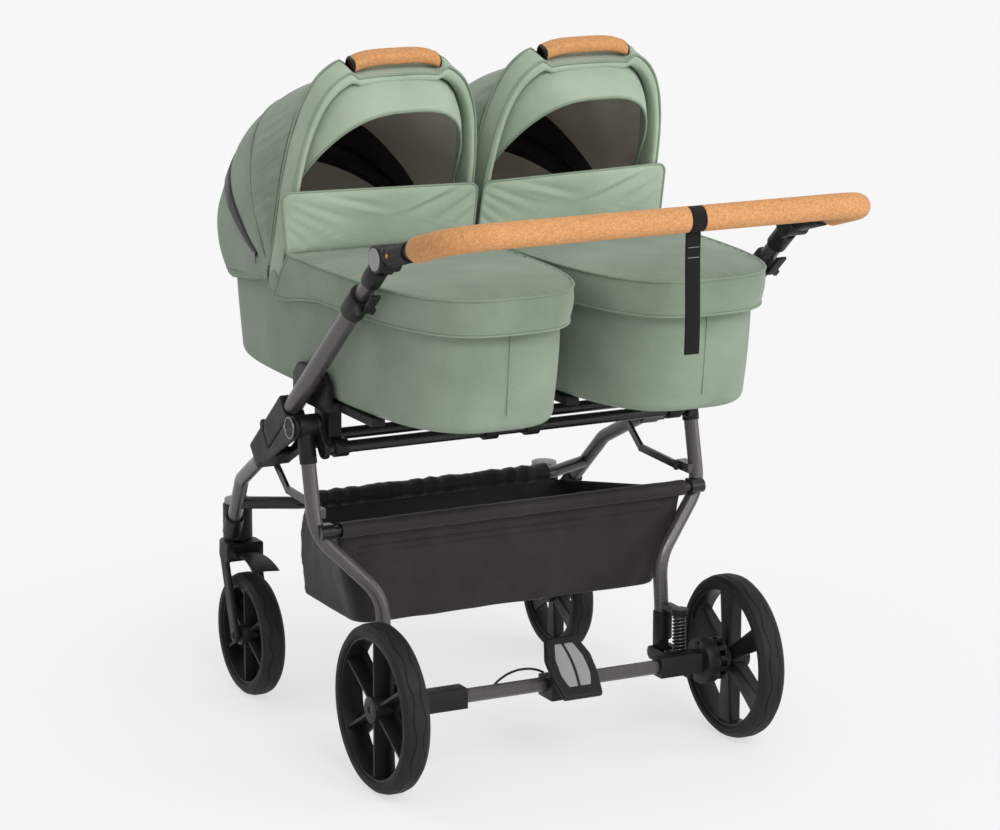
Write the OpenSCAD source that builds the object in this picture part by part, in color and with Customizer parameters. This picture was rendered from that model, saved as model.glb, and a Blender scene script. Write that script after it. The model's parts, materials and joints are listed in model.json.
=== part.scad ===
// Twin pram: two carrycots side by side on one folding frame.
// Travel is along +Y, the pusher stands at -Y and +X is the pusher's right.
// Lengths along Y are measured from the rear axle and heights from the ground.
// Pieces that come in pairs are drawn on the right and mirrored.

/* [Wheels] */
// Diameter over a rear tyre
rear_wheel_d = 280; // [260:2:290]
// Width of a rear tyre
rear_tyre_w = 46; // [40:1:50]
// Distance between the middle planes of the rear wheels
rear_track = 660; // [650:2:680]
// Diameter over a front tyre
front_wheel_d = 218; // [200:2:222]
// Width of a front tyre
front_tyre_w = 42; // [36:1:44]
// Distance between the middle planes of the front wheels
front_track = 612; // [604:2:620]
// Distance from the rear axle to the front axles
wheelbase = 585; // [575:1:600]
// Height of a tyre's section
tyre_h = 20; // [16:1:24]
// Spokes in a wheel
spoke_count = 6; // [5:1:8]

/* [Frame] */
// Place of the rear axle along the pram, from the middle of its overall length
rear_axle_y = -203.9; // [-230:0.1:-180]
// Slope of the push tubes
arm_angle = 41; // [36:1:46]
// Distance from the fold seam to the elbows
arm_len = 567; // [540:1:590]
// Height of the fold seam
seam_z = 528; // [515:1:540]
// Distance of the fold seam in front of the rear axle
seam_y = 328; // [318:1:338]
// Outside diameter of a push tube
arm_d = 32; // [30:0.5:34]
// Outside diameter of a telescopic tube
tele_d = 27; // [24:0.5:28]
// Outside diameter of the front and rear legs
leg_d = 25; // [22:0.5:26]
// Diameter of the tubes under the carrycots
cross_d = 20; // [16:0.5:22]
// Travel of the telescopic tubes
tele_travel = 100; // [60:5:120]

/* [Handlebar] */
// Outside diameter of the handlebar tube
bar_d = 25; // [22:0.5:26]
// Outside diameter of the grip
grip_d = 41; // [36:0.5:44]
// Distance from the elbow axis to the middle of the grip
bar_reach = 248; // [220:1:260]
// Radius of the handlebar's corners
bar_corner = 70; // [60:1:80]
// Rise of the handlebar behind the elbows
bar_angle = 16; // [8:1:24]
// Width of the wrist strap
strap_w = 26; // [20:1:30]
// Length of the hanging part of the wrist strap
strap_drop = 196; // [150:1:220]

/* [Carrycots] */
// Distance between the middle planes of the two carrycots
cot_spacing = 354; // [350:1:362]
// Width of a tub at its rim
tub_w = 320; // [300:1:322]
// Length of a tub at its rim
tub_len = 830; // [800:1:840]
// Distance of a tub's foot end behind the rear axle
tub_foot = 155; // [140:1:160]
// Height of a tub's underside
tub_base_z = 612; // [606:1:625]
// Height of a tub's rim
tub_rim_z = 800; // [790:1:806]
// Width of a hood
hood_w = 336; // [332:1:340]
// Distance from the hood's hinge to the outside of its bow
bow_r = 376; // [360:1:386]
// Angle of the bow above the level, open towards the pusher
bow_angle = 107; // [102:1:110]
// Length of the carry handle on the bow
carry_len = 170; // [140:2:180]
// Width of a wind flap
flap_w = 346; // [330:1:348]
// Height of a wind flap
flap_h = 102; // [90:1:112]

/* [Basket] */
// Depth of the basket below its rear rail
basket_h = 160; // [130:1:170]
// Width of the basket at its rim
basket_w = 620; // [580:2:630]

/* [Suspension] */
// Outside diameter of a spring
spring_d = 26; // [22:0.5:28]
// Diameter of the spring wire
spring_wire = 3; // [2:0.1:3.5]
// Turns in a spring
spring_turns = 10; // [8:1:10]

/* [Hidden] */
$fn = 64;

// Fits
run_gap = 0.05;
seat_gap = 0.05;
side_gap = 0.3;
cut = 1;

// Colours
black = [0.11, 0.10, 0.10];
anthracite = [0.27, 0.27, 0.28];
rubber = [0.15, 0.14, 0.14];
sage = [0.60, 0.70, 0.62];
cork = [0.85, 0.63, 0.40];
grey = [0.60, 0.60, 0.62];
cloth_black = [0.16, 0.15, 0.15];

// Wheel values
tyre_shares = [[0, 0.44], [0.14, 0.5], [0.55, 0.5], [0.87, 0.36], [1, 0.17]];
rim_wall = 5;
rim_inset = 4;
rib_t = 5;
flange_t = 6;
flange_root_share = 0.45;
flange_tip_share = 0.32;
rear_hub_d = 44;
front_hub_d = 36;
axle_d = 12;
front_axle_d = 10;
hub_in = 30;
hub_out = 22;
drive_ring_d = 72;
drive_ring_wall = 10;
drive_ring_w = 10;
drive_disc_t = 4;
drive_slots = 12;
slot_w = 10;
pin_d = 7;
pin_travel = 7;
pin_rest_gap = 1.5;
pin_in = 20;
rear_r = rear_wheel_d / 2;
front_r = front_wheel_d / 2;
rear_x = rear_track / 2;
front_x = front_track / 2;
drive_x = rear_x - hub_in - drive_disc_t - drive_ring_w + drive_disc_t / 2;
pin_r = (drive_ring_d - drive_ring_wall) / 2;

// Carrycot values
cot_x = cot_spacing / 2;
tub_taper = 8;
tub_end_taper = 18;
tub_edge = 24;
tub_wall = 12;
tub_floor = 12;
tub_foot_round = 3.2;
tub_head_round = 4.5;
tub_mid_y = tub_len / 2 - tub_foot;
plan_n = 44;
hood_pivot_y = 380;
hood_pivot_z = 782;
hood_pin_d = 10;
hood_boss_d = 34;
hood_boss_w = 11;
hood_low = -9;
hood_wall = 4;
hood_eye = 32;
hood_bow_round = 3.8;
hood_round_shares = [[0, 0.76], [0.35, 0.68], [0.7, 0.6], [0.9, 0.8], [1, 1]];
hood_reach_shares = [[0, 0.93], [0.25, 1.07], [0.5, 0.97], [0.75, 0.87], [0.9, 0.91], [1, 0.985]];
hood_rows = 10;
arch_n = 20;
bow_t = 18;
bow_depth = 56;
bow_section_shares = [[0.75, -0.5], [0.25, -0.5], [0, -0.36], [0, 0.36], [0.25, 0.5], [0.75, 0.5], [1, 0.36], [1, -0.36]];
visor_t = 4;
visor_set = 16;
visor_w = 322;
visor_r = 316;
visor_round = 3.8;
carry_t = 22;
carry_w = 34;
carry_lift = 9;
carry_steps = 10;
carry_shares = [[-0.5, -0.3], [-0.5, 0.3], [-0.3, 0.5], [0.3, 0.5], [0.5, 0.3], [0.5, -0.3], [0.3, -0.5], [-0.3, -0.5]];
apron_front = 312;
apron_wall = 11.6;
apron_gap = 0.4;
apron_foot_wall = 27;
apron_hem_z = 785;
apron_seam_z = 836;
apron_crown = 12;
apron_lift_run = 60;
apron_front_rise = 10;
apron_crown_shares = [[0.92, 0.45], [0.7, 0.85], [0.35, 1]];
flap_t = 8;
flap_corner = 22;
flap_hem_d = 8;
mattress_h = 36;
mattress_gap = 8;
mattress_share = 0.62;
rail_w = 24;
adapter_top_z = 598;
rail_h = tub_base_z - seat_gap - adapter_top_z;
rail_inset = 22;
rail_rear_y = 40;
rail_front_y = 340;
bracket_t = 12;
bracket_h = 50;
bracket_y0 = 165;
bracket_len = 135;
bracket_corner = 20;

// Frame values, across the pram
arm_gap = 7;
arm_half = 18;
arm_x = cot_x + hood_w / 2 + arm_gap + arm_half;
cheek_t = 11;
outer_cheek_t = 10;
leg_x = arm_x - 7;
cheek_in_x = leg_x - 15;
cheek_out_x = arm_x + arm_half - outer_cheek_t;

// Frame values, in the frame of the push tube: the seam is at 0, the elbow is at -arm_len
block_len = 70;
block_top = 24;
block_low = 61;
lobe_len = 45;
lobe_top = 22;
knuckle_r = 9;
fold_pin_d = 8;
knuckle_w = 16;
knuckle_slack = 0.4;
leg_pivot_back = 105;
leg_pivot_low = 41;
leg_pivot_r = 20;
leg_pivot_d = 12;
cheek_h = 40;
shoe_len = 100;
shoe_low = 20;
shoe_grip = 60;
tube_wall = 2;
collar_d = 40;
collar_len = 50;
collar_lap = 6;
arm_end_gap = 115;
arm_top = arm_len - arm_end_gap;
tele_run = 267;
tele_low = arm_len - tele_run;
stem_d = 34;
stem_len = 43;
elbow_d = 44;
elbow_root = 24;
elbow_pin_d = 14;
elbow_web = 30;
head_len = 68;
head_grip = 62;
button_d = 36;
button_t = 8;
button_proud = 2;
button_travel = 4;
elbow_half = 18;
elbow_pin_len = elbow_half + button_proud - button_t - button_travel - side_gap;
elbow_in = 20;
lever_w = 16;
lever_len = 48;
lever_t = 5;
lever_knuckle = 9;
lever_pin_d = 4;
lever_drop = 26;
ear_t = 6;
ear_len = 12;
cap_d = 40;
cap_t = 3;
cos_a = cos(arm_angle);
sin_a = sin(arm_angle);
function arm_y(y, z) = seam_y + y * cos_a + z * sin_a;
function arm_z(y, z) = seam_z - y * sin_a + z * cos_a;
pivot_y = arm_y(-leg_pivot_back, -leg_pivot_low);
pivot_z = arm_z(-leg_pivot_back, -leg_pivot_low);
elbow_y = arm_y(-arm_len, 0);
elbow_z = arm_z(-arm_len, 0);

// Cross tubes and adapters
cross_rear_y = 190;
cross_front_y = 280;
cross_z = 532;
cross_boss_d = 34;
adapter_w = 24;
adapter_rim = 5;
adapter_neck = 56;

// Rear legs
leg_knee_y = 182;
leg_knee_z = 392;
leg_in_y = 138;
leg_in_z = 286;
leg_foot_y = 125;
leg_foot_z = 158;
leg_foot_inset = 66;
leg_bend = 80;
leg_start = 28;
leg_socket = 62;
leg_socket_d = 29;
leg_sides = 16;
bend_steps = 5;
foot_x = rear_x - leg_foot_inset;

// Front legs and castors
front_knee_y = 503;
front_knee_z = 414;
front_knee_inset = 15;
front_end_ahead = 21;
front_end_y = wheelbase + front_end_ahead;
front_end_z = 297;
front_end_out = 25;
front_bend = 40;
front_seat = 43;
front_run = 84;
trail = 55;
castor_d = 52;
castor_low_z = 270;
castor_top_z = 334;
castor_cap_t = 9;
castor_cap_d = 46;
stem_pin_d = 14;
stem_pin_end = 12;
leg_cup_d = 33;
leg_cup_len = 42;
leg_cup_end = 8;
crown_low_z = 236;
crown_d = 66;
crown_gap = 2;
crown_back = 34;
fork_gap = 5;
fork_arm_t = 9;
fork_arm_r = 13;
fork_arm_y = 8;
fork_arm_z = 250;
axle_end = 3;
bar_fit_share = 0.94;
bar_step = 0.2;
tab_y = 42;
tab_z = 250;
tab_r = 5;
tab_pin_d = 4;
tab_w = 40;
tab_tip_w = 48;
tab_len = 80;
tab_t = 4;
tab_curl = 10;

// Front cross tube, basket and its rail
front_tube_d = 22;
front_tube_z = 359;
front_tube_y = 500;
front_tube_run = 246;
rail_d = 16;
rail_y = 166;
rail_z = 398;
rail_end = 338;
clamp_d = 24;
basket_wall = 3;
basket_sleeve = 3;
basket_base_w = 544;
basket_front_w = 500;
basket_base_y = 186;
basket_front_y = 430;
basket_front_drop = 8;
basket_hem_run = 470;

// Fold links, on the inner side of the legs
link_x = leg_x - 22;
link_t = 6;
link_w = 14;
link_eye_d = 18;
link_pin_d = 6;
link_low_y = 217;
link_low_z = 425;
link_bend_y = 342;
link_bend_z = 429;
link_top_y = 399;
link_top_z = 470;
lug_h = 16;
lug_t = 6;

// Rear axle, suspension and brake
axle_tube_h = 22;
axle_tube_t = 18;
axle_tube_edge_share = 0.25;
housing_in = 148;
housing_out = 68;
housing_h = 34;
housing_t = 32;
drum_d = 78;
drum_in = 68;
drum_out = 45;
stub_in = 92;
stub_out = 20;
tube_seat = 134;
swing_y = 130;
swing_z = 122;
swing_r = 11;
swing_pin_d = 8;
swing_w = 20;
swing_ear = 10;
swing_h = 24;
seat_y0 = 50;
seat_len = 34;
seat_t = 10;
spring_y = 67;
spring_low_z = 138.4;
spring_high_z = 203;
spring_sides = 6;
spring_rings = 8;
cup_d = 30;
cup_h = 11;
cup_arm_w = 16;
cup_arm_h = 10;
foot_socket_d = 33;
foot_socket_top = 195;
foot_socket_low = 148;
foot_tongue = 14;
mount_w = 64;
mount_back = 26;
mount_front = 22;
mount_low_z = 116;
mount_top_z = 152;
pedal_y = -22;
pedal_z = 166;
pedal_r = 8;
pedal_pin_d = 6;
pedal_ear_t = 8;
pedal_slope = 53;
pedal_up = 50;
pedal_down = 56;
pedal_off = 8;
pedal_t = 10;
pedal_top_w = 54;
pedal_mid_w = 80;
pedal_end_w = 68;
pedal_edge_share = 0.3;
cable_d = 4;
cable_route = [[-31, 6, 158], [-40, 8, 163], [-56, 10, 167], [-75, 12, 167], [-95, 13, 162], [-112, 13, 153],
  [-122, 12, 145], [-127, 10.5, 140]];
cable_sides = 8;

// Wrist strap
strap_t = 2.5;
strap_groove = 3;
strap_place = 41;
strap_ply = 5;

// Shape helpers

function unit(v) = v / norm(v);
function soft(t) = let (c = min(1, max(0, t))) c * c * (3 - 2 * c);
function powered(v, e) = sign(v) * pow(abs(v), e);

// A path through the points with each inner corner rounded to the bend radius
function corner_arc(a, p, b, r, steps) =
  let (u = unit(a - p), v = unit(b - p), open = acos(u * v), reach = r / tan(open / 2), mid = p + unit(u + v) * r / sin(open / 2),
    s = unit(p + u * reach - mid), e = unit(p + v * reach - mid), turn = 180 - open)
  [for (k = [0:steps]) mid + r * (sin(turn * (1 - k / steps)) * s + sin(turn * k / steps) * e) / sin(turn)];
function rounded_path(pts, r, steps) = [pts[0],
  for (i = [1:len(pts) - 2]) each corner_arc(pts[i - 1], pts[i], pts[i + 1], r, steps),
  pts[len(pts) - 1]];

// Rings of a round tube along a path; across is any direction that the path never takes
function tube_rings(path, d, sides, across) = [for (i = [0:len(path) - 1])
  let (t = unit(path[min(i + 1, len(path) - 1)] - path[max(i - 1, 0)]), n = unit(cross(across, t)), b = cross(t, n))
  [for (k = [0:sides - 1]) path[i] + d / 2 * (cos(360 * k / sides) * n + sin(360 * k / sides) * b)]];

// A closed skin over rings, with fanned ends
module skin(rings) {
  n = len(rings[0]);
  m = len(rings);
  ends = [for (r = [rings[0], rings[m - 1]]) [for (c = [0:2]) sum([for (p = r) p[c]]) / n]];
  polyhedron(concat([for (r = rings) each r], ends), concat(
    [for (i = [0:m - 2], j = [0:n - 1]) [i * n + j, (i + 1) * n + j, (i + 1) * n + (j + 1) % n]],
    [for (i = [0:m - 2], j = [0:n - 1]) [i * n + j, (i + 1) * n + (j + 1) % n, i * n + (j + 1) % n]],
    [for (j = [0:n - 1]) [m * n, j, (j + 1) % n]],
    [for (j = [0:n - 1]) [m * n + 1, (m - 1) * n + (j + 1) % n, (m - 1) * n + j]]));
}
function sum(v) = v * [for (i = v) 1];

// A closed skin over rings that are open bands: the first half of a ring is the outside, the rest runs back inside
module band_skin(rings) {
  n = len(rings[0]);
  m = len(rings);
  h = n / 2;
  polyhedron([for (r = rings) each r], concat(
    [for (i = [0:m - 2], j = [0:n - 1]) [i * n + j, (i + 1) * n + j, (i + 1) * n + (j + 1) % n]],
    [for (i = [0:m - 2], j = [0:n - 1]) [i * n + j, (i + 1) * n + (j + 1) % n, i * n + (j + 1) % n]],
    [for (j = [0:h - 2]) [j, j + 1, n - 1 - j]],
    [for (j = [0:h - 2]) [j + 1, n - 2 - j, n - 1 - j]],
    [for (j = [0:h - 2]) let (o = (m - 1) * n) [o + j, o + n - 1 - j, o + j + 1]],
    [for (j = [0:h - 2]) let (o = (m - 1) * n) [o + j + 1, o + n - 1 - j, o + n - 2 - j]]));
}

module tube_along(path, d, sides, across) skin(tube_rings(path, d, sides, across));

// Everything stands in the rear axle's frame
module stage() translate([0, rear_axle_y, 0]) children();
module right() stage() children();
module left() mirror([1, 0, 0]) stage() children();
module pair() {
  right() children();
  left() children();
}
module arm_frame() translate([0, seam_y, seam_z]) rotate([-arm_angle, 0, 0]) children();
module elbow_frame() translate([0, elbow_y, elbow_z]) rotate([-bar_angle, 0, 0]) children();

// A round bar along X, between two places
module across_x(d, x0, x1) translate([x0, 0, 0]) rotate([0, 90, 0]) cylinder(d = d, h = x1 - x0);
// A round bar along Y, between two places
module along_y(d, y0, y1) translate([0, y0, 0]) rotate([-90, 0, 0]) cylinder(d = d, h = y1 - y0);
// A box between two corners
module box(a, b) translate(a) cube(b - a);
// A flat bar in a plane across X, with round ends
module flat_bar(a, b, r, x0, x1) {
  run = norm(b - a);
  tilt = atan2(b[1] - a[1], b[0] - a[0]);
  translate([0, a[0], a[1]]) across_x(2 * r, x0, x1);
  translate([0, b[0], b[1]]) across_x(2 * r, x0, x1);
  translate([0, a[0], a[1]]) rotate([tilt, 0, 0])
    box([x0 + bar_step, 0, -r * bar_fit_share], [x1 - bar_step, run, r * bar_fit_share]);
}

// Wheels, turned about X at the origin with the outer side towards +X

module tyre(d, w) {
  r0 = d / 2 - tyre_h + seat_gap;
  h = tyre_h - seat_gap;
  n = len(tyre_shares) - 1;
  color(rubber) rotate([0, 90, 0]) rotate_extrude($fn = 96) polygon(concat(
    [for (s = tyre_shares) [r0 + h * s[0], w * s[1]]],
    [for (i = [n:-1:0]) [r0 + h * tyre_shares[i][0], -w * tyre_shares[i][1]]]));
}

module spokes(r, w, hub_d) {
  run = r - rim_wall / 2;
  for (k = [0:spoke_count - 1]) rotate([0, 0, 360 * k / spoke_count]) {
    box([hub_d / 4, -rib_t / 2, -w / 2 + rim_inset], [run, rib_t / 2, w / 2 - rim_inset]);
    translate([0, 0, -w / 2 + rim_inset]) linear_extrude(flange_t) polygon([
      [hub_d / 4, -hub_d * flange_root_share / 2], [run, -r * flange_tip_share / 2],
      [run, r * flange_tip_share / 2], [hub_d / 4, hub_d * flange_root_share / 2]]);
  }
}

module rim_ring(r, w) rotate_extrude($fn = 96) translate([r - rim_wall, -w / 2]) square([rim_wall, w]);

module rear_rim() {
  r = rear_r - tyre_h;
  w = rear_tyre_w - 2 * rim_inset;
  color(black) rotate([0, 90, 0]) difference() {
    union() {
      rim_ring(r, w);
      spokes(r, w, rear_hub_d);
      translate([0, 0, -hub_in]) cylinder(d = rear_hub_d, h = hub_in + hub_out);
      translate([0, 0, -hub_in]) cylinder(d = drive_ring_d, h = drive_disc_t);
      translate([0, 0, drive_x - rear_x]) difference() {
        cylinder(d = drive_ring_d, h = drive_ring_w + drive_disc_t / 2);
        translate([0, 0, -cut]) cylinder(d = drive_ring_d - 2 * drive_ring_wall, h = drive_ring_w + drive_disc_t + cut);
        for (k = [0:drive_slots - 1]) rotate([0, 0, 360 * k / drive_slots])
          box([0, -slot_w / 2, -cut], [drive_ring_d, slot_w / 2, drive_ring_w]);
      }
    }
    translate([0, 0, -hub_in - cut]) cylinder(d = axle_d + 2 * run_gap, h = hub_in + hub_out + 2 * cut);
  }
}

module front_rim() {
  r = front_r - tyre_h;
  w = front_tyre_w - 2 * rim_inset;
  h = front_tyre_w + fork_gap - side_gap;
  color(black) rotate([0, 90, 0]) difference() {
    union() {
      rim_ring(r, w);
      spokes(r, w, front_hub_d);
      cylinder(d = front_hub_d, h = h, center = true);
    }
    cylinder(d = front_axle_d + 2 * run_gap, h = h + 2 * cut, center = true);
  }
}

module at_rear_wheel() translate([rear_x, 0, rear_r]) children();
module at_front_wheel() translate([front_x, wheelbase, front_r]) children();
module at_castor() translate([front_x, wheelbase + trail, 0]) children();

module left_rear_tyre() left() at_rear_wheel() tyre(rear_wheel_d, rear_tyre_w);
module right_rear_tyre() right() at_rear_wheel() tyre(rear_wheel_d, rear_tyre_w);
module left_rear_rim() left() at_rear_wheel() rear_rim();
module right_rear_rim() right() at_rear_wheel() rear_rim();
module left_front_tyre() left() at_front_wheel() tyre(front_wheel_d, front_tyre_w);
module right_front_tyre() right() at_front_wheel() tyre(front_wheel_d, front_tyre_w);
module left_front_rim() left() at_front_wheel() front_rim();
module right_front_rim() right() at_front_wheel() front_rim();

// Front legs, from the hub block to the castor housing

front_path = rounded_path([
  [arm_x, arm_y(block_len - front_seat, 0), arm_z(block_len - front_seat, 0)],
  [arm_x, arm_y(front_run, 0), arm_z(front_run, 0)],
  [arm_x - front_knee_inset, front_knee_y, front_knee_z],
  [front_x + front_end_out, front_end_y, front_end_z]], front_bend, bend_steps);
front_end = front_path[len(front_path) - 1];
front_dir = unit([front_x + front_end_out, front_end_y, front_end_z]
  - [arm_x - front_knee_inset, front_knee_y, front_knee_z]);

module front_leg(d) tube_along(front_path, d, leg_sides, [1, 0, 0]);
module front_legs() color(anthracite) pair() front_leg(leg_d);

module front_cross_tube() {
  leg_share = (front_knee_z - front_tube_z) / (front_knee_z - front_end_z);
  knee = [arm_x - front_knee_inset, front_knee_y, front_knee_z];
  hit = knee + leg_share * ([front_x + front_end_out, front_end_y, front_end_z] - knee);
  path = rounded_path([[-hit[0], hit[1], front_tube_z], [-front_tube_run, front_tube_y, front_tube_z],
    [front_tube_run, front_tube_y, front_tube_z], [hit[0], hit[1], front_tube_z]], front_bend, bend_steps);
  color(black) stage() difference() {
    tube_along(path, front_tube_d, leg_sides, [0, 0, 1]);
    front_leg(leg_d + 2 * seat_gap);
    mirror([1, 0, 0]) front_leg(leg_d + 2 * seat_gap);
  }
}

// Axis of a round piece along a direction from a place
module along(p, v) translate(p) rotate([0, acos(v[2] / norm(v)), atan2(v[1], v[0])]) children();

module castor_housings() color(black) pair() difference() {
  union() {
    at_castor() translate([0, 0, castor_low_z]) cylinder(d = castor_d, h = castor_top_z - castor_low_z);
    along(front_end + leg_cup_end * front_dir, -front_dir) cylinder(d = leg_cup_d, h = leg_cup_len + leg_cup_end);
  }
  at_castor() translate([0, 0, castor_low_z - cut])
    cylinder(d = stem_pin_d + 2 * run_gap, h = castor_top_z - castor_low_z - stem_pin_end + cut);
  along(front_end, -front_dir) cylinder(d = leg_d + 2 * seat_gap, h = leg_cup_len + cut);
}

// Hub caps on the leg pivots and caps on the castor housings
module frame_caps() color(grey) pair() {
  translate([0, pivot_y, pivot_z]) across_x(cap_d, arm_x + arm_half, arm_x + arm_half + cap_t);
  at_castor() translate([0, 0, castor_top_z]) cylinder(d = castor_cap_d, h = castor_cap_t);
}

// Hub blocks: they hold the front leg, the fold hinge, the rear leg's pivot and the cross tubes

module rear_cross_place() translate([0, cross_rear_y, cross_z]) children();
module front_cross_place() translate([0, cross_front_y, cross_z]) children();

module hub_blocks() color(black) pair() difference() {
  union() {
    arm_frame() {
      difference() {
        box([arm_x - arm_half, side_gap, -block_top], [arm_x + arm_half, block_len, block_top]);
        translate([0, 0, block_top]) across_x(2 * (knuckle_r + knuckle_slack), arm_x - knuckle_w / 2 - side_gap, arm_x + knuckle_w / 2 + side_gap);
      }
      translate([0, 0, block_top]) {
        across_x(2 * knuckle_r, arm_x - arm_half, arm_x - knuckle_w / 2 - side_gap);
        across_x(2 * knuckle_r, arm_x + knuckle_w / 2 + side_gap, arm_x + arm_half);
        across_x(fold_pin_d, arm_x - arm_half, arm_x + arm_half);
      }
      box([cheek_in_x - cheek_t, side_gap, -block_low], [arm_x + arm_half, lobe_len, -lobe_top]);
      for (x = [[cheek_in_x - cheek_t, cheek_in_x], [cheek_out_x, arm_x + arm_half]]) {
        box([x[0], -leg_pivot_back, -leg_pivot_low - cheek_h / 2], [x[1], lobe_len, -leg_pivot_low + cheek_h / 2 - side_gap]);
        translate([0, -leg_pivot_back, -leg_pivot_low]) across_x(2 * leg_pivot_r, x[0], x[1]);
      }
      translate([0, -leg_pivot_back, -leg_pivot_low]) across_x(leg_pivot_d, cheek_in_x - cheek_t, arm_x + arm_half);
    }
    flat_bar([cross_rear_y, cross_z], [pivot_y, pivot_z], cross_boss_d / 2, cheek_in_x - cheek_t + bar_step, cheek_in_x - bar_step);
    flat_bar([cross_front_y, cross_z], [pivot_y, pivot_z], cross_boss_d / 2 + bar_step, cheek_in_x - cheek_t + 2 * bar_step, cheek_in_x - 2 * bar_step);
  }
  arm_frame() translate([arm_x, 0, 0]) along_y(leg_d + 2 * seat_gap, block_len - front_seat, block_len + cut);
  rear_cross_place() across_x(cross_d + 2 * seat_gap, cheek_in_x - cheek_t - cut, cheek_in_x + cut);
  front_cross_place() across_x(cross_d + 2 * seat_gap, cheek_in_x - cheek_t - cut, cheek_in_x + cut);
}

module cot_cross_tubes() color(black) stage() {
  rear_cross_place() across_x(cross_d, -cheek_in_x, cheek_in_x);
  front_cross_place() across_x(cross_d, -cheek_in_x, cheek_in_x);
}

// Adapters: four saddles on the cross tubes, one under each carrycot rail
rail_places = [cot_x - tub_w / 2 + rail_inset, cot_x + tub_w / 2 - rail_inset];

module adapter(x) difference() {
  union() {
    flat_bar([cross_rear_y, cross_z], [cross_front_y, cross_z], cross_d / 2 + adapter_rim, x - adapter_w / 2, x + adapter_w / 2);
    box([x - adapter_w / 2 + 2 * bar_step, (cross_rear_y + cross_front_y - adapter_neck) / 2, cross_z],
      [x + adapter_w / 2 - 2 * bar_step, (cross_rear_y + cross_front_y + adapter_neck) / 2, adapter_top_z]);
  }
  rear_cross_place() across_x(cross_d + 2 * seat_gap, x - adapter_w, x + adapter_w);
  front_cross_place() across_x(cross_d + 2 * seat_gap, x - adapter_w, x + adapter_w);
}
module cot_adapters() color(black) pair() for (x = rail_places) adapter(x);

// Rear frame

leg_run = unit([0, leg_knee_y - pivot_y, leg_knee_z - pivot_z]);
leg_top = [leg_x, pivot_y, pivot_z] + leg_start * leg_run;
rear_path = rounded_path([leg_top, [leg_x, leg_knee_y, leg_knee_z], [foot_x, leg_in_y, leg_in_z],
  [foot_x, leg_foot_y, leg_foot_z]], leg_bend, bend_steps);

module rear_leg(d) tube_along(rear_path, d, leg_sides, [0, 1, 0]);

module rear_legs() color(anthracite) pair() {
  rear_leg(leg_d);
  box([link_x + link_t / 2 + side_gap, leg_knee_y, link_low_z - lug_h / 2], [leg_x, link_low_y + lug_h / 2, link_low_z + lug_h / 2]);
  translate([0, link_low_y, link_low_z]) across_x(link_pin_d, link_x - link_t / 2, leg_x);
}

// Heads on the hub pivots and feet with the suspension pivot and the spring cup
module leg_head() difference() {
  union() {
    translate([0, pivot_y, pivot_z]) across_x(2 * leg_pivot_r - 2 * side_gap, cheek_in_x + side_gap, cheek_out_x - side_gap);
    along([leg_x, pivot_y, pivot_z], leg_run) cylinder(d = leg_socket_d, h = leg_socket);
  }
  translate([0, pivot_y, pivot_z]) across_x(leg_pivot_d + 2 * run_gap, cheek_in_x, cheek_out_x);
  along(leg_top, leg_run) cylinder(d = leg_d + 2 * seat_gap, h = leg_socket);
}

foot_run = unit([0, leg_foot_y - leg_in_y, leg_foot_z - leg_in_z]);
module leg_foot() difference() {
  union() {
    translate([foot_x, leg_foot_y, foot_socket_low]) cylinder(d = foot_socket_d, h = foot_socket_top - foot_socket_low);
    box([foot_x - swing_w / 2, swing_y - swing_r * bar_fit_share, swing_z], [foot_x + swing_w / 2, swing_y + swing_r * bar_fit_share, foot_socket_low + foot_tongue]);
    translate([0, swing_y, swing_z]) across_x(2 * swing_r, foot_x - swing_w / 2, foot_x + swing_w / 2);
    box([foot_x - cup_arm_w / 2, spring_y, spring_high_z], [foot_x + cup_arm_w / 2, leg_foot_y - leg_d / 2, spring_high_z + cup_arm_h]);
    box([foot_x - cup_arm_w / 2, leg_foot_y - foot_socket_d / 2, foot_socket_top - cup_arm_h],
      [foot_x + cup_arm_w / 2, leg_foot_y - leg_d / 2, spring_high_z + cup_arm_h]);
    translate([foot_x, spring_y, spring_high_z]) cylinder(d = cup_d, h = cup_h);
  }
  translate([0, swing_y, swing_z]) across_x(swing_pin_d + 2 * run_gap, foot_x - swing_w, foot_x + swing_w);
  along([foot_x, leg_foot_y, leg_foot_z], -foot_run) cylinder(d = leg_d + 2 * seat_gap, h = leg_in_z - leg_foot_z);
}
module leg_fittings() color(black) pair() {
  leg_head();
  leg_foot();
}

module basket_rail() color(black) stage() {
  translate([0, rail_y, rail_z]) across_x(rail_d, -rail_end, rail_end);
  for (s = [0, 1]) mirror([s, 0, 0]) difference() {
    translate([0, rail_y, rail_z]) union() {
      across_x(clamp_d, rail_end, leg_x);
      box([rail_end, 0, -clamp_d / 2 * bar_fit_share], [leg_x, leg_knee_y - rail_y, clamp_d / 2 * bar_fit_share]);
    }
    rear_leg(leg_d + 2 * seat_gap);
  }
}

// Basket: an open fabric box with a sleeve round the rail and one round the front cross tube

function basket_corners(inset, lift) = [
  for (s = [-1, 1]) each [
    [s * (basket_w / 2 - inset), rail_y + rail_d / 2 + inset, rail_z + lift],
    [s * (basket_front_w / 2 - inset), front_tube_y - front_tube_d / 2 - inset, front_tube_z + lift],
    [s * (basket_base_w / 2 - inset), basket_base_y + inset, rail_z - basket_h + inset],
    [s * (basket_front_w / 2 - inset), basket_front_y - inset, rail_z - basket_h + basket_front_drop + inset]]];
basket_faces = [[0, 1, 3, 2], [4, 6, 7, 5], [0, 4, 5, 1], [2, 3, 7, 6], [0, 2, 6, 4], [1, 5, 7, 3]];
module basket_box(inset, lift) hull() polyhedron(basket_corners(inset, lift), basket_faces);

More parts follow.
